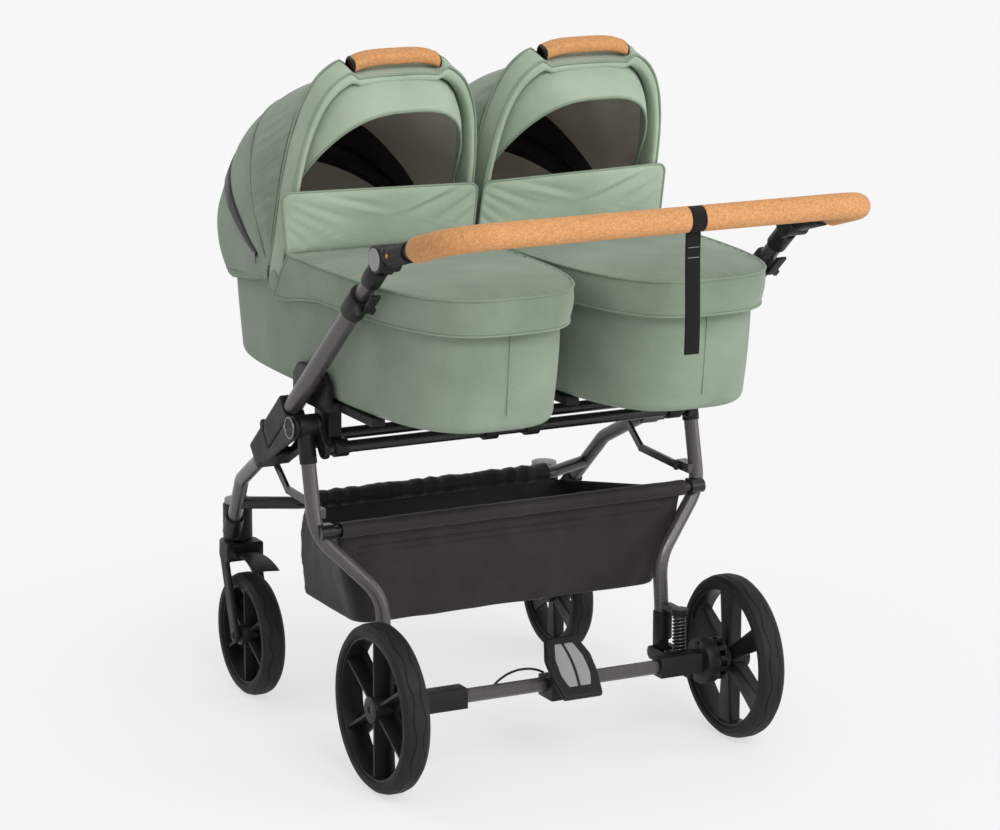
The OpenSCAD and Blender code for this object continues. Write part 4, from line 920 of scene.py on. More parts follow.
# %% Pad and crease the flaps
FLAP_SHARES = (0.0, 0.2, 0.4, 0.58, 0.72, 0.83, 0.91, 0.96, 0.99, 1.0)
FLAP_PAD = 5.2
FLAP_PIPING = 4.2
flap_rear = np.array((0.0, -math.cos(FLAP_LEAN), -math.sin(FLAP_LEAN)))
flap_centre = np.array((0.0, FLAP_H / 2))
for name, side in SIDES.items():
    outline = flap_outline(*FLAP_OUTER[name])
    rows = []
    for face in (-1, 1):
        for s in FLAP_SHARES if face < 0 else FLAP_SHARES[-2::-1]:
            ring = flap_centre + (outline - flap_centre) * s
            half = FLAP_PAD * (1 - s**5) ** 0.6
            rows.append(flap_place(ring[:, 0], ring[:, 1], FLAP_MID + face * half))
    flap = lay_rows(name + "_flap_pad", np.array(rows), side, True, True, 80.0)
    modify(flap, "SUBSURF", levels=1, render_levels=1)
    points = np.array([v.co for v in flap.data.vertices])
    u = points[:, 0] / MM - side * COT_X
    y = (points[:, 1] - AXLE_Y) / MM - FLAP_Y
    z = points[:, 2] / MM - FLAP_Z
    w = z * math.cos(FLAP_LEAN) - y * math.sin(FLAP_LEAN)
    n = y * math.cos(FLAP_LEAN) + z * math.sin(FLAP_LEAN)
    dip = flap_creases(u, w) * np.clip((FLAP_MID + 1.0 - n) / 3.0, 0, 1)
    points += flap_rear[None, :] * (dip * MM)[:, None]
    flap.data.vertices.foreach_set("co", points.astype(np.float32).ravel())
    flap.data.update()
    # The flap wears the lighter sage cloth, painted light.
    wear(flap, name + "_flap", [lit_sage], [name + "_wind_flap"])
    rim = np.vstack([outline, outline[:1]])
    rim_path = flap_place(rim[:, 0], rim[:, 1], np.full(len(rim), FLAP_MID))
    trim(name + "_flap_piping", rim_path, FLAP_PIPING, side, name + "_flap")
    print(flap.name, len(flap.data.polygons), "faces")

# %% [markdown]
# ## The hoods
#
# A hood is one curved sheet that fans out from a hinge on each side, from the head end up to a padded bow.
# Flat panels between ribs would look like an umbrella, so the sheet is drawn as a fan of arches with slightly
# different roundness and reach, gathered where it is sewn in behind the bow. Inside it is lined, with a dark
# vent under the zip.

# %% Draw the hood's arches
HINGE_Y = 380.0
HINGE_Z = 782.0
HOOD_HALF = 168.0
HOOD_LOW = -9.0
BOW_ANGLE = 107.0
BOW_REACH = 376.0
BOW_ROUND = 3.8
BOW_DEPTH = 56.0
HOOD_EYE = 32.0
HOOD_SET = 28.6
HOOD_COUNT = 121
HOOD_STEPS = np.linspace(0, 1, 81)
ZIP_AT = 0.3
GATHER_AT = 0.52
REAR_PUFF = 3.0
MIDDLE_PUFF = 2.4
FRONT_PUFF = 3.2
PLEAT_COUNT = 46
PLEAT_DEPTH = 2.4
GATHER_COUNT = 30
GATHER_DEPTH = 1.3
HOOD_LUMPS = 2.2
ROUND_TABLE = [(0, 0.76), (0.35, 0.68), (0.7, 0.6), (0.9, 0.8), (1, 1)]
REACH_TABLE = [(0, 0.86), (0.12, 1.12), (0.25, 1.07), (0.5, 0.95), (0.75, 0.862), (0.9, 0.903), (1, 0.985)]


def smooth_table(pairs, x, blur=0.07):
    """A table read with its corners rounded off."""
    if not 0 < x < 1:
        return float(table(pairs, x))
    offsets = np.linspace(-blur, blur, 15)
    return float(np.mean([table(pairs, min(max(x + o, 0), 1)) for o in offsets]))


def hood_arch(f, lift=0.0, start=0.0, stop=1.0):
    """An arch of the fan, f from 0 at the head end to 1 at the bow, between two shares of its length."""
    phi = math.radians(HOOD_LOW + (BOW_ANGLE - HOOD_LOW) * f)
    e = 2 / (BOW_ROUND * smooth_table(ROUND_TABLE, f))
    reach = BOW_REACH * smooth_table(REACH_TABLE, f) + lift
    ahead = HOOD_SET * f * f
    a = np.linspace(0, math.pi, 900)
    rho = HOOD_EYE + (reach - HOOD_EYE) * np.sin(a).clip(0) ** e
    x = COT_X + (HOOD_HALF + lift) * powered(np.cos(a), e)
    y = HINGE_Y + rho * math.cos(phi) + ahead * math.sin(phi)
    z = HINGE_Z + rho * math.sin(phi) - ahead * math.cos(phi)
    arch = even(np.stack([x, y, z], 1), 1001)
    return even(arch[int(1000 * start) : int(1000 * stop) + 1], HOOD_COUNT)


def hump(f, start, stop):
    """1 in the middle of a span, falling to 0 at its ends and beyond them."""
    return np.sin(np.pi * np.clip((f - start) / (stop - start), 0, 1))


def hood_rows():
    """The fan of arches, filled out between its seams and gathered behind the bow."""
    rows = np.array([hood_arch(f) for f in HOOD_STEPS])
    f = HOOD_STEPS[:, None]
    k = np.linspace(0, 1, HOOD_COUNT)[None, :]
    edge = np.minimum(k, 1 - k)
    puffed = FRONT_PUFF * hump(f, GATHER_AT, 1) + MIDDLE_PUFF * hump(f, ZIP_AT, GATHER_AT)
    rear = REAR_PUFF * hump(f, 0, ZIP_AT) * eased(edge / 0.1)
    zone = eased((f - GATHER_AT) / 0.08) * eased((1 - f) / 0.12)
    pleats = np.sin(2 * np.pi * (k * PLEAT_COUNT + 0.6 * np.sin(k * 31)))
    pleats = pleats * zone * eased((0.42 - edge) / 0.25) * PLEAT_DEPTH
    behind = np.sin(2 * np.pi * (k * GATHER_COUNT + 0.5 * np.sin(k * 17 + f * 4)))
    behind = behind * eased((f - 0.78) / 0.18) * GATHER_DEPTH
    lumps = sway_rows(rows * MM, 0.10, 9) * HOOD_LUMPS
    return push(rows, (puffed + pleats + behind + rear + lumps) * eased(edge / 0.04))


print("hood", len(HOOD_STEPS), "arches of", HOOD_COUNT, "points")

# %% [markdown]
# A hood folds with its bow. The zip, the seams and the puller follow the same arches as the cloth.

# %% Hang the hoods
VENT = (ZIP_AT - 0.05, 0.44)
ZIP_TAPE = (-0.029, -0.01, 0.01, 0.029)
ZIP_SPAN = (0.05, 0.95)
ZIP_PULL_WIDE = 4.2
PULL_SHAPE = np.array([(0, 0, 4), (0.6, 0, 0), (0.8, -2, -8), (0.4, -3, -15)])
HOOD_SEAMS = {"gather_seam": (GATHER_AT, 1.5), "bow_seam": (0.985, 1.0), "lower_seam": (0.03, 1.0)}


def fold_with_bow(piece):
    """Bakes a piece's place into its mesh."""
    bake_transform(piece)
    return piece


for name, side in SIDES.items():
    hood = lay_rows(name + "_hood_cloth", hood_rows(), side, angle=80.0)
    dress(hood, [sage, lining, sage, mesh_black])
    for index, face in enumerate(hood.data.polygons):
        f = (index // (HOOD_COUNT - 1) + 0.5) / (len(HOOD_STEPS) - 1)
        face.material_index = 2 if VENT[0] < f < VENT[1] else 0
    thicken(hood, 1.6, 1)
    area = sum(face.area for face in hood.data.polygons) / 2
    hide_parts(name + "_hood")
    fold_with_bow(hood)
    tape_rows = np.array([hood_arch(ZIP_AT + step, 2.8, *ZIP_SPAN) for step in ZIP_TAPE])
    tape = lay_rows(name + "_hood_zip", tape_rows, side)
    fold_with_bow(dress(thicken(tape, 5.0), [plastic]))
    for tag, (f, lift) in HOOD_SEAMS.items():
        line = bead(f"{name}_hood_{tag}", hood_arch(f, lift, 0.02, 0.98), 3.2, side, 6)
        fold_with_bow(dress(line, [trim_sage]))
    pull_path = hood_arch(ZIP_AT, 5.0, *ZIP_SPAN)[0] + PULL_SHAPE
    pull = bead(f"{name}_hood_zip_pull", pull_path, ZIP_PULL_WIDE, side)
    fold_with_bow(dress(pull, [steel]))
    print(hood.name, "one side measures", round(area, 3), "square metres")

# %% [markdown]
# ## The bows
#
# A padded bow carries the hood's rear edge: a flat hoop in a sleeve of foam and cloth, wider than it is
# thick, with piping along both edges. A curve with a bevel profile could make it, but the hoop is thin at its
# hinges and thick on top, so a rounded section is carried round the arch and its thickness follows the place.

# %% Draw the bow
BOW_THICK = 18.0
BOW_FOOT_THICK = 6.0
BOW_SIDE_THICK = 14.0
SHOULDER = 18.0
SHOULDER_THICK = 8.0
HANDLE_NOTCH = (70.0, 90.0)
BOW_COUNT = 131
BOW_SECTION = 2 / 2.8


def bow_place(turns, half, reach, v, power=BOW_ROUND):
    """A point of the bow's arch; v runs from its front edge to its rear edge."""
    lean = math.radians(BOW_ANGLE)
    rho = reach * np.sin(turns).clip(0) ** (2 / power)
    x = COT_X + half * powered(np.cos(turns), 2 / power)
    y = HINGE_Y + rho * math.cos(lean) - v * math.sin(lean)
    z = HINGE_Z + rho * math.sin(lean) + v * math.cos(lean)
    return np.stack(np.broadcast_arrays(x, y, z), -1)


def bow_turns():
    """Angles that part the bow's arch into equal lengths."""
    turns = np.linspace(0, math.pi, 4001)
    across = HOOD_HALF * powered(np.cos(turns), 2 / BOW_ROUND)
    rho = BOW_REACH * np.sin(turns).clip(0) ** (2 / BOW_ROUND)
    steps = np.linalg.norm(np.diff(np.stack([across, rho], 1), axis=0), axis=1)
    run = np.concatenate([[0.0], np.cumsum(steps)])
    return np.interp(np.linspace(0, run[-1], BOW_COUNT), run, turns)


def shoulder(turns):
    """1 on the bow's shoulders, 0 in the dip below the carry handle."""
    across = HOOD_HALF * np.abs(np.cos(turns)) ** (2 / BOW_ROUND)
    return eased((across - HANDLE_NOTCH[0]) / (HANDLE_NOTCH[1] - HANDLE_NOTCH[0]))


def bow_rows():
    """The bow's section carried round its arch."""
    section = np.linspace(0, 2 * math.pi, 30, endpoint=False)
    inward = 0.5 - 0.5 * powered(np.cos(section), BOW_SECTION)
    deep = 0.5 * powered(np.sin(section), BOW_SECTION)
    rows = []
    for turn in bow_turns():
        rho = BOW_REACH * max(math.sin(turn), 0.0) ** (2 / BOW_ROUND)
        side_thick = BOW_FOOT_THICK + (BOW_SIDE_THICK - BOW_FOOT_THICK) * float(eased((rho - 60) / 90))
        rise = shoulder(turn)
        half = HOOD_HALF - side_thick * inward
        reach = BOW_REACH + SHOULDER * rise - (BOW_THICK + SHOULDER_THICK * rise) * inward
        rows.append(bow_place(turn, half, reach, BOW_DEPTH * deep))
    return capped(rows)


print("bow", BOW_COUNT, "sections, up to", BOW_THICK + SHOULDER_THICK, "mm thick")

# %% [markdown]
# The hood's mouth is closed in by a visor: a sheet from the inside of the bow to a lower, rounder opening
# with a bound edge. It ends above the tub's rim, so that it clears the tub when the hood folds.

# %% Pad the bows and line their mouths
VISOR_OUT = (152.0, 370.0, BOW_ROUND)
VISOR_MOUTH = (155.0, 334.0, 2.8)
VISOR_FLOOR = 838.0
PEAK_LOW = -16.0
PEAK_SLOPE = (-105.0, 0.56)
VISOR_COUNT = 121
VISOR_BINDING = 5.0
BOW_PIPING = 4.4
PIPING = {"front": -25.0, "rear": 25.0}


def visor_edge(half, reach, power, back):
    """An edge of the visor; back gives how far behind the bow's middle it is at each height."""
    turns = np.linspace(0, math.pi, 3000)
    rho = reach * np.sin(turns).clip(0) ** (2 / power)
    line = bow_place(turns, half, reach, back(rho), power)
    return even(line[line[:, 2] > VISOR_FLOOR], VISOR_COUNT)


def peak(rho):
    """How far behind the bow's middle the visor's mouth stands at each height."""
    rise = PEAK_SLOPE[0] + PEAK_SLOPE[1] * rho
    return PEAK_LOW + np.logaddexp(0, (rise - PEAK_LOW) / 8.0) * 8.0


def visor_rows():
    """The visor's sheet from the bow to its mouth, and the mouth's edge."""
    outer = visor_edge(*VISOR_OUT, lambda rho: np.full_like(rho, -10.0))
    mouth = visor_edge(*VISOR_MOUTH, peak)
    shares = np.linspace(0, 1, 21)[:, None]
    rows = outer[None] * (1 - shares[..., None]) + mouth[None] * shares[..., None]
    k = np.linspace(0, 1, VISOR_COUNT)[None, :]
    arch = np.sin(np.pi * shares)
    ripple = np.sin(2 * np.pi * (k * 38 + 0.6 * np.sin(k * 23))) * (1 - shares) ** 2 * (k > 0.5)
    lumps = sway_rows(rows * MM, 0.08, 12) * 1.6 * arch
    lean = math.radians(BOW_ANGLE)
    along = np.array((math.cos(lean), math.sin(lean)))
    across = np.array((-math.sin(lean), math.cos(lean)))
    outward = np.array((0.0, *(along + 0.7 * across)))
    tall = eased((rows[..., 2] - 960) / 90)
    return rows + outward * ((6.0 * arch + lumps) * tall + ripple)[..., None], mouth


for name, side in SIDES.items():
    bow = lay_rows(name + "_bow_pad", bow_rows(), side, True, True, 75.0)
    relief(bow, lambda p: sway(p, 0.05, 15))
    # The bow pad wears the lighter sage cloth, painted light.
    wear(bow, name + "_bow", [lit_sage], [name + "_hood_bow"])
    turns = bow_turns()[2:-2]
    crest = BOW_REACH - 1.6 + SHOULDER * shoulder(turns)
    for tag, v in PIPING.items():
        edge_path = bow_place(turns, HOOD_HALF - 0.6, crest, v)
        trim(f"{name}_bow_{tag}_piping", edge_path, BOW_PIPING, side, name + "_bow")
    rows, mouth = visor_rows()
    visor = lay_rows(name + "_hood_visor", rows[:, ::-1], side, angle=80.0)
    # The visor wears the lighter sage cloth too, painted light, with the lining on its inner side.
    dress(visor, [lit_sage, lining])
    thicken(visor, 1.8, 1)
    wear(visor, name + "_bow", [lit_sage, lining])
    trim(name + "_visor_binding", mouth, VISOR_BINDING, side, name + "_bow")
    print(bow.name, len(bow.data.polygons), "faces")

# %% [markdown]
# The bow turns on a flat boss at each side, covered in the same cloth. A cylinder is the start, and its rims
# are bevelled round.

# %% Fit the bosses of the bows
BOSS_IN = 160.5
BOSS_OUT = 171.0
BOSS_RADIUS = 17.0
SIDEWAYS = (0, math.pi / 2, 0)


def settle(name):
    """Names the piece just added and moves its place into its mesh, so that its origin is the frame's."""
    piece = bpy.context.object
    piece.name = name
    bpy.ops.object.transform_apply(location=True, rotation=True, scale=True)
    return piece


def cylinder(name, centre, radius, depth, vertices, turn=(0, 0, 0)):
    """A cylinder with its centre and sizes in metres."""
    bpy.ops.object.select_all(action="DESELECT")
    sizes = {"vertices": vertices, "radius": radius, "depth": depth}
    bpy.ops.mesh.primitive_cylinder_add(location=centre, rotation=turn, **sizes)
    return settle(name)


for name, side in SIDES.items():
    for tag, out in (("inner", -1), ("outer", 1)):
        middle = side * COT_X + out * (BOSS_IN + BOSS_OUT) / 2
        centre = (middle * MM, HINGE_Y * MM + AXLE_Y, HINGE_Z * MM)
        depth = (BOSS_OUT - BOSS_IN) * MM
        boss = cylinder(f"{name}_bow_boss_{tag}", centre, BOSS_RADIUS * MM, depth, 48, SIDEWAYS)
        shade(modify(boss, "BEVEL", width=0.002, segments=3), 40)
        wear(boss, name + "_bow", [sage])
print("bosses", 2 * BOSS_RADIUS, "mm across")

# %% [markdown]
# Each bow has a carry handle on top, a bar of pressed cork that stands clear of the cloth so that fingers fit
# under it. It is the same rounded section carried along the top of the arch, with black ends clamped on.

# %% Shape the carry handles
CARRY_LONG = 162.0
CARRY_THICK = 22.0
CARRY_WIDE = 34.0
CARRY_LIFT = 9.0
CARRY_REST = 0.3
CARRY_FOOT = 3.0
CARRY_SECTION = 2 / 3.0


def carry_rows(start, stop, grow, count):
    """The handle's section along its length, from share start to share stop of its half length."""
    section = np.linspace(0, 2 * math.pi, 28, endpoint=False)
    wide = 0.5 * powered(np.cos(section), CARRY_SECTION) * (CARRY_WIDE + grow)
    tall = 0.5 * powered(np.sin(section), CARRY_SECTION) * (CARRY_THICK + grow)
    rows = []
    for t in np.linspace(start, stop, count):
        turn = math.acos(np.sign(t) * (abs(t) * CARRY_LONG / 2 / HOOD_HALF) ** (BOW_ROUND / 2))
        rise = CARRY_REST + CARRY_THICK / 2 + CARRY_LIFT * (1 - t**4) + CARRY_FOOT * t**4
        close = 1.0 - 0.12 * max(0.0, abs(t) - 0.97) / 0.03
        rows.append(bow_place(turn, HOOD_HALF, BOW_REACH + rise + tall * close, wide * close))
    return capped(rows)


for name, side in SIDES.items():
    bar = lay_rows(name + "_carry_bar", carry_rows(-1.0, 1.0, 0.0, 60), side, True, True, 50.0)
    wear(bar, name + "_bow", [cork], [name + "_carry_handle"])
    for tag, start, stop in (("low", -1.0, -0.95), ("high", 0.95, 1.0)):
        end = lay_rows(f"{name}_carry_end_{tag}", carry_rows(start, stop, 1.0, 6), side, True, True, 50.0)
        wear(end, name + "_bow", [plastic])
    print(bar.name, len(bar.data.polygons), "faces")

# %% [markdown]
# ## The basket
#
# The basket is a bag of thin black cloth slung between a rail at the rear and the frame's front tube. It
# hangs, so its walls bow out, its floor sinks in the middle, and it wrinkles where the load of its own hem
# draws it. Each level is a ring through four corners; the rings are rounded and stacked, and wrinkles are
# pushed along the normals.

# %% Hang the basket
TOP_CORNERS = np.array([(-330, 176, 396), (330, 176, 396), (250, 482, 350), (-250, 482, 350)], float)
LOW_CORNERS = np.array([(-288, 188, 228), (288, 188, 228), (291, 406, 232), (-291, 406, 232)], float)
BASKET_COUNT = 240
BASKET_REAR = 200.0
WALL_SHARES = np.linspace(0, 1, 24)
FLOOR_SHARES = (0.985, 0.96, 0.92, 0.85, 0.75, 0.6, 0.45, 0.3, 0.15, 0.0)


def basket_ring(share):
    """The bag's outline from its hem, share 0, to its floor, share 1, with its corners rounded."""
    ring = even(TOP_CORNERS * (1 - share) + LOW_CORNERS * share, BASKET_COUNT, True)
    window = int(1 + 3 * share)
    turned = [np.roll(ring, k, axis=0) for k in range(-window, window + 1)]
    return np.mean(turned, axis=0)


walls = [basket_ring(share) for share in WALL_SHARES]
base = walls[-1]
base_mid = base.mean(0)
for s in FLOOR_SHARES:
    walls.append(base_mid + (base - base_mid) * s + np.array((0, 0, -1.5 - 3.5 * (1 - s**2))))
rows = np.array(walls)
q = np.concatenate([WALL_SHARES, np.ones(len(FLOOR_SHARES))])[:, None]
bow_out = 5.0 * np.sin(np.pi * np.clip(q * 1.1, 0, 1))
drape = sway_rows(rows * np.array((1.0, 1.0, 0.45)) * MM, 0.055, 21)
slanted = rows * MM
slanted[..., 2] += rows[..., 0] * 0.4 * MM
drag = sway_rows(slanted, 0.03, 25)
depth = np.where(q < 1, eased(q / 0.12) * (3.6 * drape + 1.6 * drag), 1.5 * drape)
rows = push(rows[:, ::-1], (bow_out + depth)[:, ::-1])
basket = lay_rows("basket_bag", rows, 1, True, False, 80.0)
dress(basket, [basket_black])
thicken(basket, 1.4)
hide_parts("basket")
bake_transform(basket)

# %% [markdown]
# Its hems are sleeves: one is drawn smoothly over the rear rail, the other is gathered along the front tube.

# %% Sew the basket's hems
RAIL = (166.0, 398.0)
FRONT_TUBE = (500.0, 359.0)
SLEEVE_COUNT = 28
SLEEVE_RIM = 0.4


def sleeve(name, body, half_run, middle, inner, thick, gather):
    """A sleeve round a level tube, with a ripple where its cloth is gathered."""
    turns = np.linspace(0, 2 * math.pi, SLEEVE_COUNT, endpoint=False)

    def ring(x, radius):
        y = middle[0] + radius * np.cos(turns)
        z = middle[1] + radius * np.sin(turns)
        return np.stack([np.full(SLEEVE_COUNT, x), y, z], 1)

    rows = []
    for x in np.linspace(-half_run, half_run, 160):
        ripple = np.sin(x * 0.13 + 2.6 * np.sin(x * 0.037) + 0.8 * np.sin(turns * 2))
        ripple = 0.5 + 0.5 * ripple * (0.7 + 0.3 * np.sin(x * 0.31))
        rows.append(ring(x, inner + thick + gather * ripple))
    rows += [ring(half_run, inner + SLEEVE_RIM), ring(-half_run, inner + SLEEVE_RIM), rows[0]]
    piece = lay_rows(name, np.array(rows), 1, True, True)
    wear(piece, body, [basket_black])
    return piece


BASKET_SEAMS = {"upper": 0.20, "lower": 0.27}
SEAM_HALF = 290.0
SEAM_BEHIND = 4.5
sleeve("basket_rear_sleeve", "rear_frame", half_run=326.0, middle=RAIL, inner=11.4, thick=1.6, gather=0.8)
sleeve("basket_front_sleeve", "chassis", half_run=234.0, middle=FRONT_TUBE, inner=14.6, thick=1.4, gather=3.4)
for tag, share in BASKET_SEAMS.items():
    ring = basket_ring(share)
    rear = ring[(ring[:, 1] < BASKET_REAR) & (np.abs(ring[:, 0]) < SEAM_HALF)]
    rear = rear[np.argsort(rear[:, 0])]
    line = bead(f"basket_seam_{tag}", rear - np.array((0, SEAM_BEHIND, 0)), 2.6, 1, 6)
    wear(line, "rear_frame", [basket_black])
print("hems sewn")

# %% [markdown]
# ## The wrist strap
#
# A loop of webbing hangs from the bar. Webbing bends one way only, so it goes round the grip as a flat band
# and then falls straight, two plies thick. It is modelled as a ring and a tail with rounded selvedges.

# %% Loop the strap
BAR = (-338.3, 968.3)
STRAP_X = 41.0
STRAP_WIDE = 26.0
STRAP_BORE = 35.6
STRAP_PLY = 2.5
STRAP_DROP = 196.0
STRAP_COUNT = 20
STITCHES = {"upper": 44.0, "lower": 60.0}


def strap_wave(drop):
    """How far the hanging strap waves backwards and forwards at a drop below the bar."""
    return 1.2 * math.sin(drop / 34.0)


selvedge = np.linspace(0, 2 * math.pi, STRAP_COUNT, endpoint=False)
strap_x = STRAP_X + STRAP_WIDE * 0.5 * powered(np.cos(selvedge), 2 / 5.0)
thin = 0.5 * powered(np.sin(selvedge), 2 / 5.0)
radius = STRAP_BORE / 2 + STRAP_PLY / 2 + STRAP_PLY * thin
ring_rows = []
for turn in np.linspace(0, 2 * math.pi, 49):
    y = BAR[0] + radius * math.cos(turn)
    z = BAR[1] + radius * math.sin(turn)
    ring_rows.append(np.stack([strap_x, y, z], 1))
loop_band = lay_rows("strap_loop", np.array(ring_rows), 1, True, True)
tail_rows = []
for drop in np.linspace(STRAP_BORE / 2 + 0.5, STRAP_BORE / 2 + STRAP_DROP - 1.5, 48):
    end = min(1.0, (STRAP_BORE / 2 + STRAP_DROP - drop) / 4.0)
    thick = 2 * STRAP_PLY * (0.6 + 0.4 * end)
    y = BAR[0] + strap_wave(drop) + thick * thin
    tail_rows.append(np.stack([strap_x, y, np.full(STRAP_COUNT, BAR[1] - drop)], 1))
tail = lay_rows("strap_tail", capped(tail_rows), 1, True, True)
wear(loop_band, "wrist_strap", [webbing], ["wrist_strap"])
wear(tail, "wrist_strap", [webbing])
for tag, drop in STITCHES.items():
    across = np.linspace(-STRAP_WIDE / 2 + 3, STRAP_WIDE / 2 - 3, 12)
    y = BAR[0] + strap_wave(drop) - STRAP_PLY
    path = np.stack([STRAP_X + across, np.full(12, y), np.full(12, BAR[1] - drop)], 1)
    stitch = bead("strap_stitch_" + tag, path, 0.9, 1, 6)
    wear(stitch, "wrist_strap", [plastic_grey])
print("strap hangs", STRAP_DROP, "mm")

# %% [markdown]
# ## Tyres
#
# The tyres are foam with a moulded tread of two wavy lines. The lines are a millimetre deep, too small for
# the solids, so each tyre gets its own rubber with the lines drawn round its own axle as bump and painted
# shade in the grooves.

# %% Tread the tyres
LINE_PLACE = 0.0085
LINE_SWING = 0.0024
LINE_WAVES = 13.0
for node in ("left_rear_tyre", "right_rear_tyre", "left_front_tyre", "right_front_tyre"):
    low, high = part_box(node)
    hub = (low + high) / 2
    tread = Finish(node + "_rubber", {"Specular IOR Level": 0.25})
    x, y, z = (tread.add("SeparateXYZ", {}, {"Vector": tread.place}, axis) for axis in "XYZ")
    round_axle = tread.add("Math", {"operation": "ARCTAN2"}, [z - hub.z, y - hub.y])
    swing = tread.add("Math", {"operation": "SINE"}, [round_axle * LINE_WAVES])
    off = tread.add("Math", {"operation": "ABSOLUTE"}, [x - hub.x])
    from_line = tread.add("Math", {"operation": "ABSOLUTE"}, [off - LINE_PLACE - swing * LINE_SWING])
    line = from_line.between(0.0006, 0.0020)
    fine = tread.grain(900.0, 2.0)
    dust = tread.grain(24.0, 3.0)
    tone = tread.mix(dust * 0.5 + fine * 0.5, colour("171616"), colour("222020"))
    # The grooves are painted near-black: painted shade in the recess, over the rubber's own tone.
    tread.feed("Base Color", tread.mix(line, colour("080707"), tone))
    tread.feed("Roughness", dust.between(0.3, 0.7, 0.6, 0.72))
    tread.bump(line * 0.85 + fine * 0.15, 0.0016)
    dress(frame["nodes"][node], [tread])
print("treads drawn")

# %% [markdown]
# ## Mouldings
#
# Moulded plastic has no sharp edges. The solids do, so every moulding is copied and its loose triangles are
# merged. Most copies get their flat faces joined and their edges bevelled a little, and the thickest are
# melted round instead. Each copy stands for its solid.

# %% Round the mouldings
ROUNDING = {"black_plastic": 1.4, "grey_plastic": 1.2}
DRAWN_LATER = ("brake_cable", "left_swivel_lock", "right_swivel_lock")
MELTED = {
    "hub_blocks": 14,
    "arm_shoes": 12,
    "castor_housings": 5,
    "left_fork": 8,
    "right_fork": 8,
    "brake_pedal": 36,
}
MELT_VOXEL = 1.8
SOLID_WELD = 0.00002
EDGE_ANGLE = math.radians(38)


def moulding_copy(node):
    """A merged copy of a solid, ready to be shaped."""
    piece = bpy.data.objects.new(node + "_moulding", frame["nodes"][node].data.copy())
    scene.collection.objects.link(piece)
    return weld(piece, SOLID_WELD)


def rounded(node, width):
    """A copy of a solid with its flat faces joined and its sharp edges bevelled."""
    piece = moulding_copy(node)
    bpy.ops.object.mode_set(mode="EDIT")
    bpy.ops.mesh.dissolve_limited(angle_limit=math.radians(1.0))
    bpy.ops.object.mode_set(mode="OBJECT")
    bevel = {"segments": 2, "limit_method": "ANGLE", "angle_limit": EDGE_ANGLE, "use_clamp_overlap": True}
    return shade(modify(piece, "BEVEL", width=width * MM, **bevel), 35)


def melted(node, rounds, place=None):
    """A copy of a solid as a thick moulding: an even mesh, smoothed until its edges are full and round."""
    piece = moulding_copy(node)
    if place:
        for vertex in piece.data.vertices:
            vertex.co = place(vertex.co)
    modify(piece, "REMESH", mode="VOXEL", voxel_size=MELT_VOXEL * MM)
    modify(piece, "SMOOTH", factor=0.5, iterations=rounds)
    bpy.ops.object.shade_smooth()
    return piece


print("to be melted:", ", ".join(MELTED))

# %% [markdown]
# Two of the mouldings are shaped a little more than their solids. The hub's lower lobe tapers towards the
# front leg, and the brake pedal is a longer, flatter plate. Both are moved in their own frame before they are
# rounded.

# %% Shape the hub and the pedal
ARM_START = (328.0, 528.0)
ARM_ANGLE = math.radians(41.0)
PEDAL = (-22.0, 166.0)
PEDAL_SOLID_SLOPE = math.radians(53.0)
PEDAL_SLOPE = math.radians(43.0)
LOBE_TOP = -22.0
LOBE_TAPER = 0.75
PLATE_UNDER = 7.0
PLATE_WIDER = 0.08
PLATE_LONGER = 0.12


def hub_taper(point):
    """A point of the hub, with the lobe below its arm drawn in towards the leg."""
    y = (point.y - AXLE_Y) / MM - ARM_START[0]
    z = point.z / MM - ARM_START[1]
    along = y * math.cos(ARM_ANGLE) - z * math.sin(ARM_ANGLE)
    rise = y * math.sin(ARM_ANGLE) + z * math.cos(ARM_ANGLE)
    if rise < LOBE_TOP:
        taper = LOBE_TAPER * float(eased((along + 70.0) / 90.0))
        rise = LOBE_TOP + (rise - LOBE_TOP) * (1 - taper)
    y = along * math.cos(ARM_ANGLE) + rise * math.sin(ARM_ANGLE)
    z = rise * math.cos(ARM_ANGLE) - along * math.sin(ARM_ANGLE)
    return Vector((point.x, (y + ARM_START[0]) * MM + AXLE_Y, (z + ARM_START[1]) * MM))


def pedal_place(u, along, rise, slope):
    """A point of the pedal: u across, along its slope, and rise off it."""
    y = PEDAL[0] + along * math.cos(slope) - rise * math.sin(slope)
    z = PEDAL[1] + along * math.sin(slope) + rise * math.cos(slope)
    return np.stack(np.broadcast_arrays(u, y, z), -1)


def pedal_plate(point):
    """A point of the pedal's solid, laid on a flatter slope, with its plate made wider and longer."""
    y = (point.y - AXLE_Y) / MM - PEDAL[0]
    z = point.z / MM - PEDAL[1]
    along = y * math.cos(PEDAL_SOLID_SLOPE) + z * math.sin(PEDAL_SOLID_SLOPE)
    rise = z * math.cos(PEDAL_SOLID_SLOPE) - y * math.sin(PEDAL_SOLID_SLOPE)
    on_plate = float(rise > PLATE_UNDER)
    u = point.x / MM * (1 + PLATE_WIDER * on_plate)
    place = pedal_place(u, along * (1 + PLATE_LONGER * on_plate), rise, PEDAL_SLOPE)
    return Vector((place[0] * MM, place[1] * MM + AXLE_Y, place[2] * MM))


SHAPED = {"hub_blocks": hub_taper, "brake_pedal": pedal_plate}
rounded_faces = {}
for node, slot in slot_of_node.items():
    if slot not in ROUNDING or node in DRAWN_LATER:
        continue
    if node in MELTED:
        copy = melted(node, MELTED[node], SHAPED.get(node))
    else:
        copy = rounded(node, ROUNDING[slot])
    wear(copy, body_of_node[node], [FINISH_OF_SLOT[slot]], [node])
    rounded_faces[node] = len(copy.data.polygons)
print("rounded", len(rounded_faces), "mouldings with", sum(rounded_faces.values()), "faces")

# %% [markdown]
# The tabs that lock the castors are thin curled tongues. Each is drawn as a strip that widens and dips to its
# tip.

